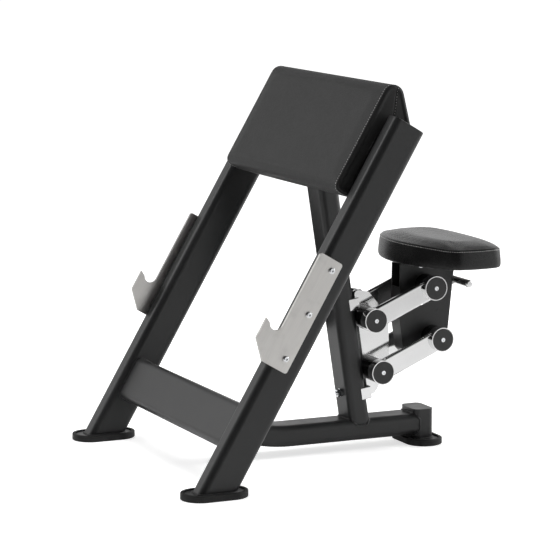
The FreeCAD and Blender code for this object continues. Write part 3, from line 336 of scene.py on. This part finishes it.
def apply_modifiers(piece):
    """Keep the shape that a piece's modifiers give it."""
    graph = bpy.context.evaluated_depsgraph_get()
    made = bpy.data.meshes.new_from_object(piece.evaluated_get(graph))
    piece.modifiers.clear()
    piece.data = made


def points_of(mesh):
    """All points of a mesh as rows of X, Y, Z."""
    flat = np.zeros(len(mesh.vertices) * 3)
    mesh.vertices.foreach_get("co", flat)
    return flat.reshape(-1, 3)


def set_points(mesh, points):
    """Move the points of a mesh."""
    mesh.vertices.foreach_set("co", points.ravel())
    mesh.update()


# Covers are blown up over so many steps, at this pressure
SWELL_STEPS = 20
SWELL_PRESSURE = 4.0
CORNER_STEPS = 12


def flat_normals(loop):
    """Outward directions round a closed outline of (a, b) points that runs anticlockwise."""
    ahead = np.roll(loop, -1, axis=0) - np.roll(loop, 1, axis=0)
    out = np.stack((ahead[:, 1], -ahead[:, 0]), axis=1)
    return out / np.linalg.norm(out, axis=1)[:, None]


def spread(points, count, closed=False):
    """Evenly spaced points along a run of straight pieces: count steps, both ends kept."""
    points = np.asarray(points, float)
    if closed:
        points = np.vstack((points, points[:1]))
    reach = np.concatenate(((0.0,), np.cumsum(np.linalg.norm(np.diff(points, axis=0), axis=1))))
    at = np.linspace(0.0, reach[-1], count + 1)
    even = np.stack([np.interp(at, reach, points[:, k]) for k in range(points.shape[1])], axis=1)
    return even[:-1] if closed else even


def corner_arc(before, corner, after, radius):
    """The points of a round corner between two straight sides."""
    corner = np.array(corner, float)
    back = np.array(before, float) - corner
    on = np.array(after, float) - corner
    back /= np.linalg.norm(back)
    on /= np.linalg.norm(on)
    half = math.acos(float(np.clip(back @ on, -1, 1))) / 2
    inward = (back + on) / np.linalg.norm(back + on)
    centre = corner + inward * radius / math.sin(half)
    first = corner + back * radius / math.tan(half) - centre
    last = corner + on * radius / math.tan(half) - centre
    start = math.atan2(first[1], first[0])
    turn = (math.atan2(last[1], last[0]) - start + math.pi) % (2 * math.pi) - math.pi
    turns = [start + turn * k / CORNER_STEPS for k in range(CORNER_STEPS + 1)]
    return [centre + radius * np.array((math.cos(angle), math.sin(angle))) for angle in turns]


class Cover:
    """A closed cover built up from rings and patches of points in metres."""

    def __init__(self):
        self.points = []
        self.faces = []
        self.pinned = []

    def ring(self, places, pin=False):
        """Add a closed row of points and give back their numbers."""
        first = len(self.points)
        self.points.extend(tuple(place) for place in places)
        numbers = list(range(first, len(self.points)))
        if pin:
            self.pinned.extend(numbers)
        return numbers

    def join(self, first, second):
        """Quads between two rings."""
        for k in range(len(first)):
            n = (k + 1) % len(first)
            self.faces.append((first[k], first[n], second[n], second[k]))

    def piece(self, name):
        """The cover as a mesh object with all its faces outward."""
        form = bmesh.new()
        made = [form.verts.new(point) for point in self.points]
        for face in self.faces:
            form.faces.new([made[k] for k in face])
        bmesh.ops.recalc_face_normals(form, faces=form.faces)
        mesh = bpy.data.meshes.new(name)
        form.to_mesh(mesh)
        form.free()
        piece = bpy.data.objects.new(name, mesh)
        scene.collection.objects.link(piece)
        return piece


def swell(piece, held, most):
    """Blow a cover up from inside, holding the numbered points, outward only and by so much at most."""
    start = points_of(piece.data)
    out = np.zeros(len(start) * 3)
    piece.data.vertices.foreach_get("normal", out)
    out = out.reshape(-1, 3)
    resting = piece.vertex_groups.new(name="resting")
    resting.add(held, 1.0, "REPLACE")
    cover = piece.modifiers.new("cover", "CLOTH")
    cover.settings.use_pressure = True
    cover.settings.uniform_pressure_force = SWELL_PRESSURE
    cover.settings.vertex_group_mass = "resting"
    cover.settings.effector_weights.gravity = 0
    cover.collision_settings.use_collision = False
    for step in range(1, SWELL_STEPS + 1):
        scene.frame_set(step)
    apply_modifiers(piece)
    scene.frame_set(1)
    risen = np.einsum("ij,ij->i", points_of(piece.data) - start, out)
    set_points(piece.data, start + out * np.clip(risen, 0.0, most)[:, None])


def refine(piece):
    """One round of smooth subdivision, kept."""
    finer = piece.modifiers.new("finer", "SUBSURF")
    finer.levels = 1
    finer.render_levels = 1
    apply_modifiers(piece)
    piece.data.shade_smooth()


def along_route(route, spacing, closed=False):
    """Evenly spaced points along straight runs between route points."""
    corners = [Vector(point) for point in route]
    if closed:
        corners.append(corners[0])
    lengths = [(b - a).length for a, b in zip(corners, corners[1:])]
    total = sum(lengths)
    count = max(2, round(total / spacing))
    places = []
    for k in range(count if closed else count + 1):
        reach = total * k / count
        index = 0
        while index < len(lengths) - 1 and reach > lengths[index]:
            reach -= lengths[index]
            index += 1
        share = min(1.0, reach / max(lengths[index], 1e-9))
        places.append(corners[index].lerp(corners[index + 1], share))
    return places


def surface_tree(thing):
    """A search tree over a mesh object's faces."""
    mesh = thing.data
    return BVHTree.FromPolygons([v.co for v in mesh.vertices], [p.vertices for p in mesh.polygons])


def lay_on(tree, route):
    """A route's points, a millimetre apart, moved onto the nearest surface."""
    return [tree.find_nearest(point)[0] for point in along_route(route, MM)]


def sink_seam(piece, line, depth, width):
    """Press a sewn line into a cover."""
    search = KDTree(len(line))
    for k, point in enumerate(line):
        search.insert(point, k)
    search.balance()
    mesh = piece.data
    shifts = []
    for vertex in mesh.vertices:
        away = search.find(vertex.co)[2]
        if away < 3 * width:
            press = vertex.normal * depth * math.exp(-(away / width) ** 2)
            shifts.append((vertex.index, vertex.co - press))
    for index, place in shifts:
        mesh.vertices[index].co = place
    mesh.update()


# A stitch: shares of its length from the middle with shares of its girth, how far its ends dip into the
# cover and how far its middle stands proud, as shares of its thickness
CAPSULE = ((-0.5, 0.0), (-0.46, 0.55), (-0.34, 0.9), (0.0, 1.0), (0.34, 0.9), (0.46, 0.55), (0.5, 0.0))
CAPSULE_SIDES = 8
STITCH_DIP = 0.8
STITCH_PROUD = 0.22


def add_stitch(form, centre, along, out, length, thick):
    """One stitch: a short thread, round at both ends, lying on a surface."""
    side = out.cross(along).normalized()
    lift = along.cross(side).normalized()
    rings = []
    for share, girth in CAPSULE:
        middle = centre + along * (share * length) - lift * (thick * STITCH_DIP * (2 * share) ** 2)
        if girth == 0:
            rings.append([form.verts.new(middle)] * CAPSULE_SIDES)
            continue
        ring = []
        for k in range(CAPSULE_SIDES):
            turn = 2 * math.pi * k / CAPSULE_SIDES
            spoke = side * math.cos(turn) + lift * math.sin(turn)
            ring.append(form.verts.new(middle + spoke * girth * thick / 2))
        rings.append(ring)
    for first, second in zip(rings, rings[1:]):
        for k in range(CAPSULE_SIDES):
            n = (k + 1) % CAPSULE_SIDES
            corners = [first[k], first[n], second[n], second[k]]
            form.faces.new(list(dict.fromkeys(corners)))


def sew(form, tree, line, pitch, length, thick, closed=False):
    """A row of stitches along a line on a cover."""
    places = along_route(line, pitch, closed)
    count = len(places)
    for k, place in enumerate(places):
        if closed:
            ahead = places[(k + 1) % count] - places[k - 1]
        else:
            ahead = places[min(k + 1, count - 1)] - places[max(k - 1, 0)]
        if ahead.length < 1e-6:
            continue
        centre, out, _, _ = tree.find_nearest(place)
        add_stitch(form, centre + out * thick * STITCH_PROUD, ahead.normalized(), out, length, thick)


# Arm pad: corners of its side in millimetres behind and up the posts' slope, each with its radius
PAD_CORNERS = ((-25.3, 713.0, 0.0), (-67.0, 713.0, 16.0), (-67.0, 980.0, 25.5), (-30.0, 980.0, 25.5),
               (46.0, 901.0, 14.0), (-25.3, 866.3, 0.0))
PAD_ACROSS = 8
PAD_UP_BOARD = 30
PAD_OVER_CHEST = 44
PAD_STEP = 6.0
PAD_PLAIN = 294.0
# From the plain cover over the sewn edge on to the side panel: millimetres from the middle and drawn in
PAD_EDGE = ((PAD_PLAIN, 0.0), (296.6, 0.1), (298.0, 0.6), (298.7, 1.8), (298.9, 3.6), (299.6, 4.0),
            (300.6, 4.2), (301.5, 5.2), (301.8, 7.0), (301.4, 9.2), (300.4, 11.2), (300.0, 13.0))
PAD_SIDE = 299.8
PAD_SWELL = 0.0032
PAD_STITCH_AT = 293.6
# The upright seam on each end panel: its ends as Y and Z in metres, and the groove beside its stitches
PAD_JOIN = ((0.0835, 0.866), (0.0671, 0.756))
JOIN_GROOVE_AHEAD = 0.0024
JOIN_GROOVE_DEPTH = 0.0012
JOIN_GROOVE_WIDTH = 0.0018
# Stitches as pitch, length and thickness in metres
PAD_STITCH = (0.0058, 0.0042, 0.0013)
JOIN_STITCH = (0.0062, 0.0030, 0.0009)
SEAT_STITCH = (0.0056, 0.0042, 0.0013)


def pad_outline():
    """The arm pad's side outline from its lower back corner round the front, in even steps."""
    flat = [corner[:2] for corner in PAD_CORNERS]
    arcs = [corner_arc(flat[k - 1], flat[k], flat[k + 1], PAD_CORNERS[k][2]) for k in range(1, 5)]
    low, top, ridge, tip = arcs
    level = (flat[1][0], flat[5][1])
    bottom = spread([flat[0], low[0]], PAD_ACROSS)
    face = spread(low + [level], PAD_UP_BOARD)
    chest = spread([level] + top + ridge + [tip[0]], PAD_OVER_CHEST)
    nose = spread(tip, PAD_ACROSS)
    under = spread([tip[-1], flat[5]], PAD_OVER_CHEST)
    board = spread([flat[5], flat[0]], PAD_UP_BOARD)
    return np.vstack([run[:-1] for run in (bottom, face, chest, nose, under, board)])


def fill_side(cover, ring, places, x):
    """The end panel: rows from the back of the outline to its front."""
    rows = PAD_UP_BOARD + PAD_OVER_CHEST
    count = len(ring)
    grid = [[None] * (PAD_ACROSS + 1) for _ in range(rows + 1)]

    def rim(k):
        return places[k % count]

    for j in range(rows + 1):
        for i in range(PAD_ACROSS + 1):
            u = i / PAD_ACROSS
            v = j / rows
            if i == PAD_ACROSS:
                number = ring[PAD_ACROSS + j]
            elif i == 0:
                number = ring[(count - j) % count]
            elif j == 0:
                number = ring[i]
            elif j == rows:
                number = ring[2 * PAD_ACROSS + rows - i]
            else:
                straight = (1 - u) * rim(count - j) + u * rim(PAD_ACROSS + j)
                foot = rim(i) - ((1 - u) * rim(0) + u * rim(PAD_ACROSS))
                head = (rim(2 * PAD_ACROSS + rows - i) - (1 - u) * rim(2 * PAD_ACROSS + rows)
                        - u * rim(PAD_ACROSS + rows))
                place = straight + (1 - v) * foot + v * head
                number = cover.ring([on_slope(x, *place)])[0]
            grid[j][i] = number
    for j in range(rows):
        for i in range(PAD_ACROSS):
            cover.faces.append((grid[j][i], grid[j][i + 1], grid[j + 1][i + 1], grid[j + 1][i]))


def arm_pad():
    """The arm cushion: one cover over front and chest, sewn to a panel at each end, and its stitching."""
    outline = pad_outline()
    # This outline runs clockwise, so its normals point inward
    inward = flat_normals(outline)
    cover = Cover()
    stations = [(x, 0.0) for x in np.arange(-PAD_PLAIN + PAD_STEP, PAD_PLAIN - PAD_STEP / 2, PAD_STEP)]
    stations = [(-x, drawn) for x, drawn in reversed(PAD_EDGE)] + stations + list(PAD_EDGE)
    rings = []
    for x, drawn in stations:
        shape = outline + inward * drawn
        ring = cover.ring([on_slope(x, *place) for place in shape], abs(x) >= PAD_PLAIN)
        rings.append(ring)
        cover.pinned.extend(ring[-PAD_UP_BOARD:] + ring[:1])
    for first, second in zip(rings, rings[1:]):
        cover.join(first, second)
    for ring, side in ((rings[0], -1), (rings[-1], 1)):
        fill_side(cover, ring, outline + inward * PAD_EDGE[-1][1], side * PAD_SIDE)
    pad = cover.piece("arm_pad_cushion")
    swell(pad, cover.pinned, PAD_SWELL)
    refine(pad)
    tree = surface_tree(pad)
    sewn = outline[PAD_ACROSS // 2:-PAD_UP_BOARD - PAD_OVER_CHEST // 2]
    rows = []
    joins = []
    for side in (-1, 1):
        rows.append(lay_on(tree, [on_slope(side * PAD_STITCH_AT, *place) for place in sewn]))
        join = [Vector((side * PAD_SIDE * MM, y, z)) for y, z in PAD_JOIN]
        groove = lay_on(tree, [place - ALONG * JOIN_GROOVE_AHEAD for place in join])
        sink_seam(pad, groove, JOIN_GROOVE_DEPTH, JOIN_GROOVE_WIDTH)
        joins.append(lay_on(tree, join))
    tree = surface_tree(pad)
    form = bmesh.new()
    for row in rows:
        sew(form, tree, row, *PAD_STITCH)
    for row in joins:
        sew(form, tree, row, *JOIN_STITCH)
    finish_cushion(pad, finishes["pad_cover"], "arm_pad", "frame")
    new_piece("arm_pad_stitching", form, thread_finish, "frame")


def finish_cushion(piece, material, node, body):
    """A cushion's material and what it stands for."""
    piece.data.materials.clear()
    piece.data.materials.append(material)
    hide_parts(node)
    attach(piece, body)


# Seat: rings of the cover as millimetres drawn in from the outline and above the top seam. The solid is
# widest half way up its side, where its outline is taken, and SEAT_WIDEST is by how much.
SEAT_SIDE = 45.5
SEAT_WIDEST = 1.0137
SEAT_LOOKS = 1440
SEAT_LOOK_FROM = 0.4
SEAT_GRID = 56
SEAT_SWELL = 0.0030
SEAT_TOP = ((8.5, 1.2), (6.0, 0.7), (4.3, 0.1))
SEAT_SEAM = (3.6, -1.6)
SEAT_WALL = ((2.7, -1.7), (1.8, -3.0), (1.3, -6.5), (0.7, -10.5), (0.2, -15.0), (-0.3, -20.0),
             (-0.8, -25.0), (-1.2, -30.0), (-1.3, -34.5), (-1.2, -38.5), (-0.7, -41.4), (0.3, -43.6),
             (2.0, -45.0), (5.0, -45.5))
# The recess for the board, as a share of the outline
SEAT_RECESS = 0.8749
SEAT_RECESS_RISE = 12.3
SEAT_CROWN = 9.0
SEAT_CROWN_IN = 72.0
SEAT_STITCH_DOWN = 3.4
SEAT_STITCH_LOOK = 0.05
# The front edge is fuller in the middle: how much higher at the seam, how much further out at the bottom,
# over what half width, from which Y and over what run
SEAT_FRONT_RISE = 5.0
SEAT_FRONT_BULGE = 4.5
SEAT_FRONT_HALF = 165.0
SEAT_FRONT_FROM = 25.0
SEAT_FRONT_RUN = 110.0


def seat_outline(middle, level):
    """The seat's outline, found by looking in from outside all round the solid."""
    tree = surface_tree(nodes["seat_pad"])
    line = []
    for k in range(SEAT_LOOKS):
        turn = math.radians(45 + 360 * k / SEAT_LOOKS)
        out = Vector((math.cos(turn), math.sin(turn), 0))
        hit = tree.ray_cast(Vector((middle.x, middle.y, level)) + out * SEAT_LOOK_FROM, -out)[0]
        line.append(((hit.x - middle.x) / SEAT_WIDEST, (hit.y - middle.y) / SEAT_WIDEST))
    return spread(line, 4 * SEAT_GRID, True)


def fill_disc(cover, ring, places, height, lift, pin=False):
    """Fill a ring with smaller and smaller squares of points, each lifted by its share of the way in."""
    levels = SEAT_GRID // 2
    inner = {}
    total = len(ring)
    for k in range(total):
        side, step = divmod(k, SEAT_GRID)
        inner[(0, side, step)] = ring[k]
    for level in range(1, levels):
        share = 1 - level / levels
        wide = SEAT_GRID - 2 * level
        for side in range(4):
            for step in range(wide):
                spot = (side + step / wide) * SEAT_GRID
                low = int(spot)
                part = spot - low
                place = ((1 - part) * places[low % total] + part * places[(low + 1) % total]) * share
                number = cover.ring([height(place, lift(place))], pin)[0]
                inner[(level, side, step)] = number
    centre = cover.ring([height(np.zeros(2), lift(np.zeros(2)))], pin)[0]

    def at(level, side, step):
        if level == levels:
            return centre
        wide = SEAT_GRID - 2 * level
        if step == wide:
            return inner[(level, (side + 1) % 4, 0)]
        return inner[(level, side, step)]

    for level in range(levels):
        wide = SEAT_GRID - 2 * level
        for side in range(4):
            for step in range(wide):
                first = at(level, side, step)
                second = at(level, side, step + 1)
                if step == 0:
                    corner = at(level + 1, side, 0)
                    before = at(level, (side - 1) % 4, wide - 1)
                    cover.faces.append((before, first, second, corner))
                elif step < wide - 1:
                    third = at(level + 1, side, step)
                    fourth = at(level + 1, side, step - 1)
                    cover.faces.append((first, second, third, fourth))


def seat():
    """The seat cushion: a crowned top panel sewn to a band that bulges low down, and its stitching."""
    low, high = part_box("seat_pad")
    middle = (low + high) / 2
    seam_z = low.z + SEAT_SIDE * MM
    outline = seat_outline(middle, low.z + SEAT_SIDE * MM / 2) / MM
    inward = -flat_normals(outline)

    def height(place, rise):
        wide = max(0.0, 1 - (abs(place[0]) / SEAT_FRONT_HALF) ** 3)
        ahead = min(1.0, max(0.0, (SEAT_FRONT_FROM - place[1]) / SEAT_FRONT_RUN))
        share = min(1.0, max(0.0, 1 + rise / SEAT_SIDE))
        swollen = wide * ahead ** 2 * (3 - 2 * ahead)
        lift = SEAT_FRONT_RISE * swollen * share
        back = place[1] - SEAT_FRONT_BULGE * swollen * (1 - share)
        return Vector((middle.x + place[0] * MM, middle.y + back * MM, seam_z + (rise + lift) * MM))

    reach = np.linalg.norm(outline, axis=1)
    turns = np.unwrap(np.arctan2(outline[:, 1], outline[:, 0]))

    def crown(place):
        turn = math.atan2(place[1], place[0])
        edge = np.interp((turn - turns[0]) % (2 * math.pi) + turns[0], turns, reach)
        share = min(1.0, (edge - np.linalg.norm(place) - SEAT_SEAM[0]) / SEAT_CROWN_IN)
        return SEAT_CROWN * (1 - (1 - share) ** 2)

    cover = Cover()
    rings = []
    for drawn, rise in SEAT_TOP:
        rings.append(cover.ring([height(place, rise) for place in outline + inward * drawn]))
    seam = outline + inward * SEAT_SEAM[0]
    rings.append(cover.ring([height(place, SEAT_SEAM[1]) for place in seam], True))
    for drawn, rise in SEAT_WALL:
        resting = rise <= -SEAT_SIDE
        rings.append(cover.ring([height(place, rise) for place in outline + inward * drawn], resting))
    recess = outline * SEAT_RECESS
    rings.append(cover.ring([height(place, -SEAT_SIDE) for place in recess], True))
    rings.append(cover.ring([height(place, SEAT_RECESS_RISE - SEAT_SIDE) for place in recess], True))
    for first, second in zip(rings, rings[1:]):
        cover.join(first, second)
    fill_disc(cover, rings[0], outline + inward * SEAT_TOP[0][0], height, crown)
    fill_disc(cover, rings[-1], recess, height, lambda p: SEAT_RECESS_RISE - SEAT_SIDE, True)
    cushion = cover.piece("seat_cushion")
    swell(cushion, cover.pinned, SEAT_SWELL)
    refine(cushion)
    tree = surface_tree(cushion)
    line = []
    for place, inner in zip(outline, inward):
        toward = Vector((inner[0], inner[1], 0.0))
        outside = height(place, -SEAT_STITCH_DOWN) - toward * SEAT_STITCH_LOOK
        line.append(tree.ray_cast(outside, toward)[0])
    form = bmesh.new()
    sew(form, tree, line, *SEAT_STITCH, closed=True)
    finish_cushion(cushion, seat_vinyl_with_painted_shade, "seat_pad", "carriage")
    new_piece("seat_stitching", form, thread_finish, "carriage")


arm_pad()
seat()


def round_outline(half_a, half_b, corner):
    """Points round a rectangle with round corners, centred on zero."""
    points = []
    for k, (sa, sb) in enumerate(((1, 1), (-1, 1), (-1, -1), (1, -1))):
        for step in range(9):
            turn = math.radians(90 * k + 90 * step / 8)
            points.append((sa * (half_a - corner) + corner * math.cos(turn),
                           sb * (half_b - corner) + corner * math.sin(turn)))
    return points


# Weld beads are in metres, and tubes and the places of their beads in millimetres
BEAD_SIDES = 8
BEAD_RIPPLE = 0.0034
BEAD_RADIUS = 0.0026
FOOT_BEAD_RADIUS = 0.0028
TUBE_CORNER = 15
TUBE_HALF = (40, 25)
POST_INSIDE_X = 308
POST_AXIS_X = 333
# The two crossbeams: bottom and top up the slope, front and back behind the posts' axes
CROSSBEAMS = ((104.5, 210.5, -24, 26), (745, 825, -10, 40))


def add_bead(form, line, radius):
    """A weld bead: a rippled rope of metal laid all round a joint."""
    places = along_route(line, BEAD_RIPPLE / 3, True)
    count = len(places)
    centre = sum(places, Vector()) / count
    rings = []
    for k, place in enumerate(places):
        ahead = (places[(k + 1) % count] - places[k - 1]).normalized()
        out = place - centre
        out = (out - ahead * out.dot(ahead)).normalized()
        side = ahead.cross(out).normalized()
        swelling = 1 + 0.14 * math.sin(2 * math.pi * k / 3) + 0.06 * math.sin(0.37 * k)
        ring = []
        for n in range(BEAD_SIDES):
            turn = 2 * math.pi * n / BEAD_SIDES
            spoke = out * math.cos(turn) + side * math.sin(turn)
            ring.append(form.verts.new(place + spoke * radius * swelling))
        rings.append(ring)
    for k in range(count):
        first, second = rings[k], rings[(k + 1) % count]
        for n in range(BEAD_SIDES):
            m = (n + 1) % BEAD_SIDES
            form.faces.new((first[n], first[m], second[m], second[n]))


def meeting_line(outline, ahead, onto):
    """Where a tube's outline, carried on along its axis, meets another piece."""
    tree = surface_tree(nodes[onto])
    line = []
    for start in outline:
        hit = tree.ray_cast(start, ahead)[0]
        if hit:
            line.append(hit)
    return line


def welds():
    """Beads round the frame's welded joints."""
    form = bmesh.new()
    tube = round_outline(*TUBE_HALF, TUBE_CORNER)
    for side, foot_plate in ((-1, "right_foot_plate"), (1, "left_foot_plate")):
        for low, high, front, back in CROSSBEAMS:
            outline = round_outline((high - low) / 2, (back - front) / 2, TUBE_CORNER)
            behind = (front + back) / 2
            up = (low + high) / 2
            line = [on_slope(side * POST_INSIDE_X, behind + b, up + a) for a, b in outline]
            add_bead(form, line, BEAD_RADIUS)
        foot = [on_slope(side * POST_AXIS_X + b, a, 200) for a, b in tube]
        add_bead(form, meeting_line(foot, -SLOPE_UP, foot_plate), FOOT_BEAD_RADIUS)
    # Each other joint: the tube's outline at a place near its end, which way it goes on, and what it meets
    joints = (([on_slope(a, 60, 157.5 + b) for a, b in tube], -SLOPE_BACK, "front_crossbeam"),
              ([on_floor(a, 600, 46 + b) for a, b in tube], ALONG, "rear_column"),
              ([on_column(a, b, 110) for a, b in tube], -COLUMN_UP, "base_beam"),
              ([on_column(a, b, 560) for a, b in tube], COLUMN_UP, "upper_crossbeam"),
              ([on_floor(a, 667 + b, 40) for a, b in tube], -UP, "rear_foot_plate"))
    for outline, ahead, onto in joints:
        add_bead(form, meeting_line(outline, ahead, onto), BEAD_RADIUS)
    new_piece("frame_welds", form, finishes["frame_paint"], "frame")


welds()

# Camera at the photograph's viewing angle, taking the image as 560 by 560
PHOTO_LENS = 174.15
CAMERA_AT = Vector((5.5539, -2.59795, 1.3622))
CAMERA_LOOK = Vector((-0.8987, 0.4102, -0.1549))
camera_data = bpy.data.cameras.new("camera")
camera_data.lens = PHOTO_LENS
camera_data.sensor_width = 36.0
camera = bpy.data.objects.new("camera", camera_data)
camera.location = CAMERA_AT
camera.rotation_euler = CAMERA_LOOK.to_track_quat("-Z", "Y").to_euler()
scene.collection.objects.link(camera)
scene.camera = camera
scene.view_settings.view_transform = "Standard"

VIEW_BACK = Vector((CAMERA_LOOK.x, CAMERA_LOOK.y, 0)).normalized()
VIEW_RIGHT = VIEW_BACK.cross(UP)


LIT_PLACE = Vector((0.0, 0.0, 0.4))


def softbox(name, back, right, height, width, tall, power):
    """A soft studio light, placed in metres as seen from the camera, with its size and its watts."""
    data = bpy.data.lights.new(name, "AREA")
    data.shape = "RECTANGLE"
    data.size = width
    data.size_y = tall
    data.energy = power
    light = bpy.data.objects.new(name, data)
    light.location = VIEW_BACK * back + VIEW_RIGHT * right + UP * height
    light.rotation_euler = (LIT_PLACE - light.location).to_track_quat("-Z", "Y").to_euler()
    scene.collection.objects.link(light)
    return light


softbox("top light", 0.4, 0.2, 3.4, 2.6, 2.6, 105).visible_glossy = False
softbox("left light", 0.6, -3.2, 1.9, 2.0, 2.4, 38)
softbox("right light", 1.2, 3.2, 1.7, 1.6, 2.2, 50)


def flat_piece(name, corners, material):
    """A flat stage piece."""
    form = bmesh.new()
    form.faces.new([form.verts.new(corner) for corner in corners])
    mesh = bpy.data.meshes.new(name)
    form.to_mesh(mesh)
    form.free()
    mesh.materials.append(material)
    piece = bpy.data.objects.new(name, mesh)
    scene.collection.objects.link(piece)
    return piece


FLOOR_HALF = 14


def studio():
    """White floor, three dark cards that only reflections show, and the surround."""
    white = Finish("studio floor", {"Base Color": grey(0.8), "Roughness": 0.9, "Emission Strength": 1.0,
                                    "Specular IOR Level": 0.0})
    seen = white.node("ShaderNodeLightPath", {}, {}, "Is Camera Ray")
    away = white.node("ShaderNodeVectorMath", {"operation": "LENGTH"}, {0: white.place()}, "Value")
    lit = white.fit(away, 2.4, 6.0, 0.1, 0.62)
    white.set("Emission Color", lit + seen * (white.fit(away, 0.8, 3.2, 0.66, 1.05) - lit))
    far = FLOOR_HALF
    flat_piece("floor", [(-far, -far, 0), (far, -far, 0), (far, far, 0), (-far, far, 0)], white.material)
    dark = Finish("dark card", {"Base Color": grey(0.01), "Roughness": 1.0, "Specular IOR Level": 0.0})
    # Each card: the two ends of its foot, then its lower and upper edges in metres
    near = VIEW_BACK * -1.7
    wide = VIEW_RIGHT * 1.0
    side = VIEW_RIGHT * -1.6
    cards = (("front_card", near - wide, near + wide, 0.02, 2.4),
             ("left_card", side - VIEW_BACK * 1.5, side + VIEW_BACK * 0.3, 0.02, 1.3),
             ("far_card", Vector((-0.12, -0.03, 0.0)), Vector((-0.12, 0.2, 0.0)), 0.25, 0.62))
    for name, start, end, low, tall in cards:
        corners = [start + UP * low, end + UP * low, end + UP * tall, start + UP * tall]
        card = flat_piece(name, corners, dark.material)
        card.visible_camera = False
        card.visible_shadow = False
        card.visible_diffuse = False
    surround()


def surround():
    """The room round the stage: bright near the horizon behind and to the right, dark overhead."""
    world = bpy.data.worlds.new("studio")
    scene.world = world
    world.use_nodes = True
    tree = world.node_tree
    sky = tree.nodes["Background"]
    sky.inputs["Color"].default_value = grey(1.0)
    path = tree.nodes.new("ShaderNodeLightPath")
    place = tree.nodes.new("ShaderNodeTexCoord")

    def band(direction, low, high, to_low, to_high):
        """Brightness that goes from one level to another as a view turns toward a direction."""
        toward = tree.nodes.new("ShaderNodeVectorMath")
        toward.operation = "DOT_PRODUCT"
        toward.inputs[1].default_value = direction
        tree.links.new(place.outputs["Generated"], toward.inputs[0])
        ramp = tree.nodes.new("ShaderNodeMapRange")
        for number, value in enumerate((low, high, to_low, to_high), 1):
            ramp.inputs[number].default_value = value
        tree.links.new(toward.outputs["Value"], ramp.inputs["Value"])
        return ramp.outputs[0]

    def combine(operation, first, second):
        """One sum of two brightnesses."""
        step = tree.nodes.new("ShaderNodeMath")
        step.operation = operation
        tree.links.new(first, step.inputs[0])
        tree.links.new(second, step.inputs[1])
        return step.outputs[0]

    behind = band(VIEW_BACK, 0.2, 1.0, 0.06, 1.05)
    beside = band(VIEW_RIGHT, 0.2, 0.75, 0.06, 0.82)
    bright = combine("MULTIPLY", combine("MAXIMUM", behind, beside), band(UP, 0.28, 0.7, 1.0, 0.16))
    tree.links.new(combine("MAXIMUM", bright, path.outputs["Is Camera Ray"]), sky.inputs["Strength"])


studio()
